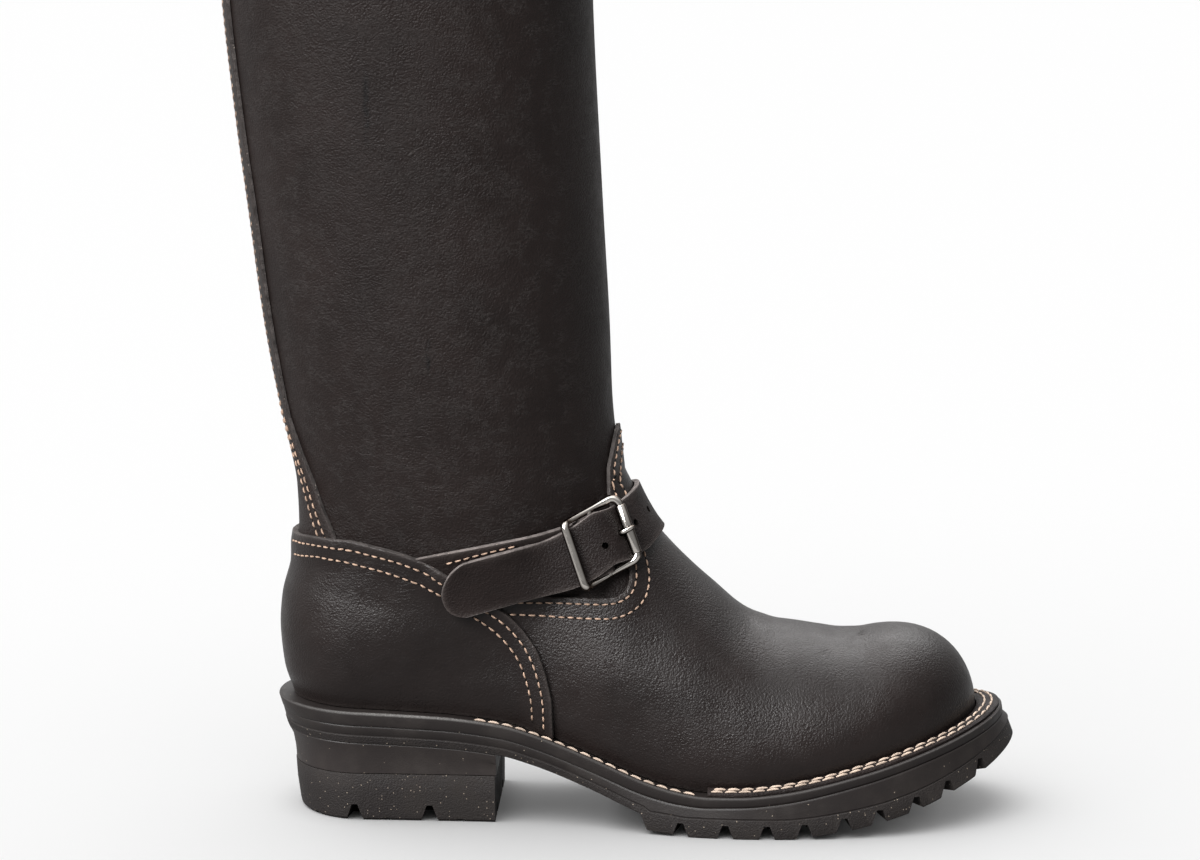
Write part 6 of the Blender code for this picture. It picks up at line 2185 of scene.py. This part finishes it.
def finishes():
    """Builds the groups and the materials once, from the colours in the panel."""
    if FINISHES:
        return FINISHES
    tints = bpy.context.scene.boot_colours
    effects = {"grain": leather_grain(), "wrinkles": fine_wrinkles(), "scuff": dark_scuff(),
               "dust": dust_specks()}
    FINISHES.update({
        "shaft": leather("shaft_leather", effects, tints.shaft, (0.74, 1.12), 0.44, SHAFT_PATCHES, 0.5,
                         crinkled=0.5, scuffs=SHAFT_SCUFFS, shine=0.17, depth=0.00055),
        "foot": leather("foot_leather", effects, tints.foot, (0.7, 1.14), 0.34, FOOT_PATCHES, 0.6,
                        shine=0.28, depth=0.0003),
        "strap": leather("strap_leather", effects, tints.strap, (0.6, 1.2), 0.45, worn=1.2),
        "welt": leather("welt_leather", effects, tints.strap, (0.6, 1.2), 0.5),
        "lining": leather("lining_leather", effects, tints.lining, (0.7, 1.1), 0.62),
        "insole": leather("insole_leather", effects, tints.insole, (0.7, 1.1), 0.7),
        # Cut edges in two copies of one colour: darker on the panels, a painted shade, and full on the
        # straps, a pale raw edge with a painted highlight.
        "edge": cut_edge_leather("panel_cut_edge", effects, shade(tints.edge, 0.4)),
        "strap_edge_lit": cut_edge_leather("strap_cut_edge", effects, tints.edge),
        "rubber": rubber("side_rubber", effects, tints.rubber, tints.dust),
        "heel": rubber("heel_rubber", effects, shade(tints.rubber, 1.45), tints.dust),
        "tread": rubber("tread_rubber", effects, tints.rubber, tints.dust, 0.62, 0.16, stipple=0.0006),
        "nickel": nickel_plate(effects, tints.nickel),
        "thread": thread("tan_thread", effects, tints.thread),
        "welt_thread": thread("cream_thread", effects, tints.welt_thread),
        "hole": needle_hole(effects),
    })
    return FINISHES


def in_mm(value):
    """Turns a length in metres into millimetres."""
    return value / MM


class BOOT_OT_upper(bpy.types.Operator):
    """Makes the shaft with its lining, and the board inside the foot"""
    bl_idname = "boot.upper"
    bl_label = "Shaft and lining"

    def execute(self, context):
        made = finishes()
        make_upper(made["shaft"], made["lining"])
        make_insole(made["insole"])
        return {"FINISHED"}


class BOOT_OT_overlays(bpy.types.Operator):
    """Makes the vamp, the counter and the strip up the back"""
    bl_idname = "boot.overlays"
    bl_label = "Vamp, counter and back strip"

    def execute(self, context):
        made, sizes = finishes(), context.scene.boot_sizes
        thick = {key: in_mm(getattr(sizes, key)) for key in ("vamp", "counter", "stay")}
        make_overlays(thick, made["foot"], made["shaft"], made["edge"])
        return {"FINISHED"}


class BOOT_OT_straps(bpy.types.Operator):
    """Makes the short strap that holds the buckle and the long strap over the instep"""
    bl_idname = "boot.straps"
    bl_label = "Straps"

    def execute(self, context):
        made, thick = finishes(), in_mm(context.scene.boot_sizes.strap)
        # The straps' cut edges take the full copy of the edge colour, partly a painted highlight.
        materials = (made["strap"], made["strap_edge_lit"], made["hole"])
        make_buckle_strap(materials, BUCKLE_STRAP_THICKNESS)
        make_instep_strap(materials, thick)
        return {"FINISHED"}


class BOOT_OT_buckle(bpy.types.Operator):
    """Makes the buckle's frame, its roller and its prong"""
    bl_idname = "boot.buckle"
    bl_label = "Buckle"

    def execute(self, context):
        make_buckle(finishes()["nickel"])
        return {"FINISHED"}


class BOOT_OT_sole(bpy.types.Operator):
    """Makes the welt, the midsole, the lugged outsole and the heel"""
    bl_idname = "boot.sole"
    bl_label = "Welt, sole and heel"

    def execute(self, context):
        made = finishes()
        make_welt(made["welt"])
        make_midsole(made["rubber"])
        make_outsole(made["rubber"], made["tread"])
        make_heel(made["heel"], made["tread"])
        return {"FINISHED"}


class BOOT_OT_stitches(bpy.types.Operator):
    """Makes the rows of stitches and the painted shade of their needle holes"""
    bl_idname = "boot.stitches"
    bl_label = "Stitches"

    def execute(self, context):
        made, sizes = finishes(), context.scene.boot_sizes
        pitch, radius = in_mm(sizes.pitch), in_mm(sizes.thread)
        rows = leather_stitches(in_mm(sizes.stitch), pitch)
        stitch_mesh("tan_stitches", rows, radius, made["thread"])
        hole_mesh("needle_holes", rows, pitch, HOLE_BREADTH * radius, made["hole"])
        rows = sole_stitches(in_mm(sizes.welt_stitch), in_mm(sizes.welt_pitch))
        stitch_mesh("cream_stitches", rows, in_mm(sizes.welt_thread), made["welt_thread"])
        return {"FINISHED"}


# The studio in metres.
KEY_PLACE = (-0.9, -1.3, 1.15)
TOP_PLACE = (-0.35, -0.1, 0.93)
BACK_PLACE = (0.1, 0.55, 0.83)
SURROUND_LEAN = (-0.3, 0.35, 0.9)
FLOOR_HALF = 9.0
BOUNCE = 0.45
CONTACT_REACH = 0.014
SURROUND_SPAN = (-0.1, 0.8)
FAR_CLIP = 50.0
EYE = (0.1386, -1.4763, 0.4245)
TARGET = (0.087, 0.0, 0.164)
LENS = 105.1
SENSOR = 36.0


def aimed(thing, place, face):
    """Puts a light or a camera at a place and turns it to face a point."""
    thing.location = place
    thing.rotation_euler = (Vector(face) - Vector(place)).to_track_quat("-Z", "Y").to_euler()
    bpy.context.scene.collection.objects.link(thing)


class BOOT_OT_stage(bpy.types.Operator):
    """Makes the pale floor, the soft lights and the camera"""
    bl_idname = "boot.stage"
    bl_label = "Stage"

    def execute(self, context):
        studio, scene = context.scene.boot_studio, context.scene
        mesh = bpy.data.meshes.new("floor")
        corners = [(FLOOR_HALF * a, FLOOR_HALF * b, 0.0) for a, b in ((-1, -1), (1, -1), (1, 1), (-1, 1))]
        mesh.from_pydata(corners, [], [(0, 1, 2, 3)])
        material, tree, shader = new_material("pale_floor")
        seen = add(tree, "ShaderNodeLightPath").outputs["Is Camera Ray"]
        near = add(tree, "ShaderNodeAmbientOcclusion", {"Distance": CONTACT_REACH}).outputs["AO"]
        dressed(shader, Base_Color=mixed(tree, seen, shade(studio.floor, BOUNCE), colour(studio.floor)),
                Roughness=0.9, Specular_IOR_Level=0.1, Emission_Color=WHITE,
                Emission_Strength=times(tree, near, studio.glow))
        mesh.materials.append(material)
        floor = bpy.data.objects.new("floor", mesh)
        scene.collection.objects.link(floor)
        lit = bpy.data.collections.new("lit_pieces")
        for thing in scene.objects:
            if thing.type == "MESH" and thing is not floor:
                lit.objects.link(thing)
        for name, place, energy, spread, pieces in (
                ("key_light", KEY_PLACE, studio.key, studio.spread, lit),
                ("back_light", BACK_PLACE, studio.back, studio.back_spread, lit),
                ("top_light", TOP_PLACE, studio.top, studio.top_spread, None)):
            lamp = bpy.data.lights.new(name, "SUN")
            lamp.energy, lamp.angle = energy, spread
            light = bpy.data.objects.new(name, lamp)
            aimed(light, place, (0.0, 0.0, 0.0))
            if pieces:
                light.light_linking.receiver_collection = pieces
        world = bpy.data.worlds.new("pale_surround")
        world.use_nodes = True
        tree, backdrop = world.node_tree, world.node_tree.nodes["Background"]
        backdrop.inputs["Color"].default_value = WHITE
        toward = add(tree, "ShaderNodeTexCoord").outputs["Generated"]
        back = add(tree, "ShaderNodeVectorMath", {0: toward, 1: SURROUND_LEAN}, operation="DOT_PRODUCT")
        light = span(tree, back.outputs["Value"], *SURROUND_SPAN, studio.front, studio.behind)
        seen = add(tree, "ShaderNodeLightPath").outputs["Is Camera Ray"]
        strength = add(tree, "ShaderNodeMix", {0: seen, 2: light, 3: studio.backdrop}, data_type="FLOAT")
        tree.links.new(strength.outputs[0], backdrop.inputs["Strength"])
        scene.world = world
        camera = bpy.data.cameras.new("camera")
        camera.lens, camera.sensor_width = LENS, SENSOR
        camera.clip_end = FAR_CLIP
        eye = bpy.data.objects.new("camera", camera)
        aimed(eye, EYE, TARGET)
        scene.camera = eye
        scene.view_settings.view_transform = "Standard"
        return {"FINISHED"}


class BOOT_PT_panel(bpy.types.Panel):
    """Lists the boot's pieces, sizes, colours and studio"""
    bl_idname = "BOOT_PT_panel"
    bl_label = "Over-the-knee boot"
    bl_space_type = "VIEW_3D"
    bl_region_type = "UI"
    bl_category = "Boot"

    def draw(self, context):
        for step in STEPS:
            self.layout.operator(step.bl_idname)
        for group in (context.scene.boot_sizes, context.scene.boot_colours, context.scene.boot_studio):
            box = self.layout.box()
            for key in group.__annotations__:
                box.prop(group, key)


GROUPS = {"boot_sizes": BootSizes, "boot_colours": BootColours, "boot_studio": BootStudio}
STEPS = (BOOT_OT_upper, BOOT_OT_overlays, BOOT_OT_straps, BOOT_OT_buckle, BOOT_OT_sole, BOOT_OT_stitches,
         BOOT_OT_stage)


def register():
    """Registers the classes and puts the property groups on the scene."""
    for kind in (*GROUPS.values(), *STEPS, BOOT_PT_panel):
        bpy.utils.register_class(kind)
    for key, kind in GROUPS.items():
        setattr(bpy.types.Scene, key, bpy.props.PointerProperty(type=kind))


def unregister():
    """Takes the property groups off the scene and the classes out."""
    for key in GROUPS:
        delattr(bpy.types.Scene, key)
    for kind in (BOOT_PT_panel, *reversed(STEPS), *GROUPS.values()):
        bpy.utils.unregister_class(kind)


def main():
    """Makes the boot and its stage."""
    register()
    bpy.ops.boot.upper()
    bpy.ops.boot.overlays()
    bpy.ops.boot.straps()
    bpy.ops.boot.buckle()
    bpy.ops.boot.sole()
    bpy.ops.boot.stitches()
    bpy.ops.boot.stage()


if __name__ == "__main__":
    main()
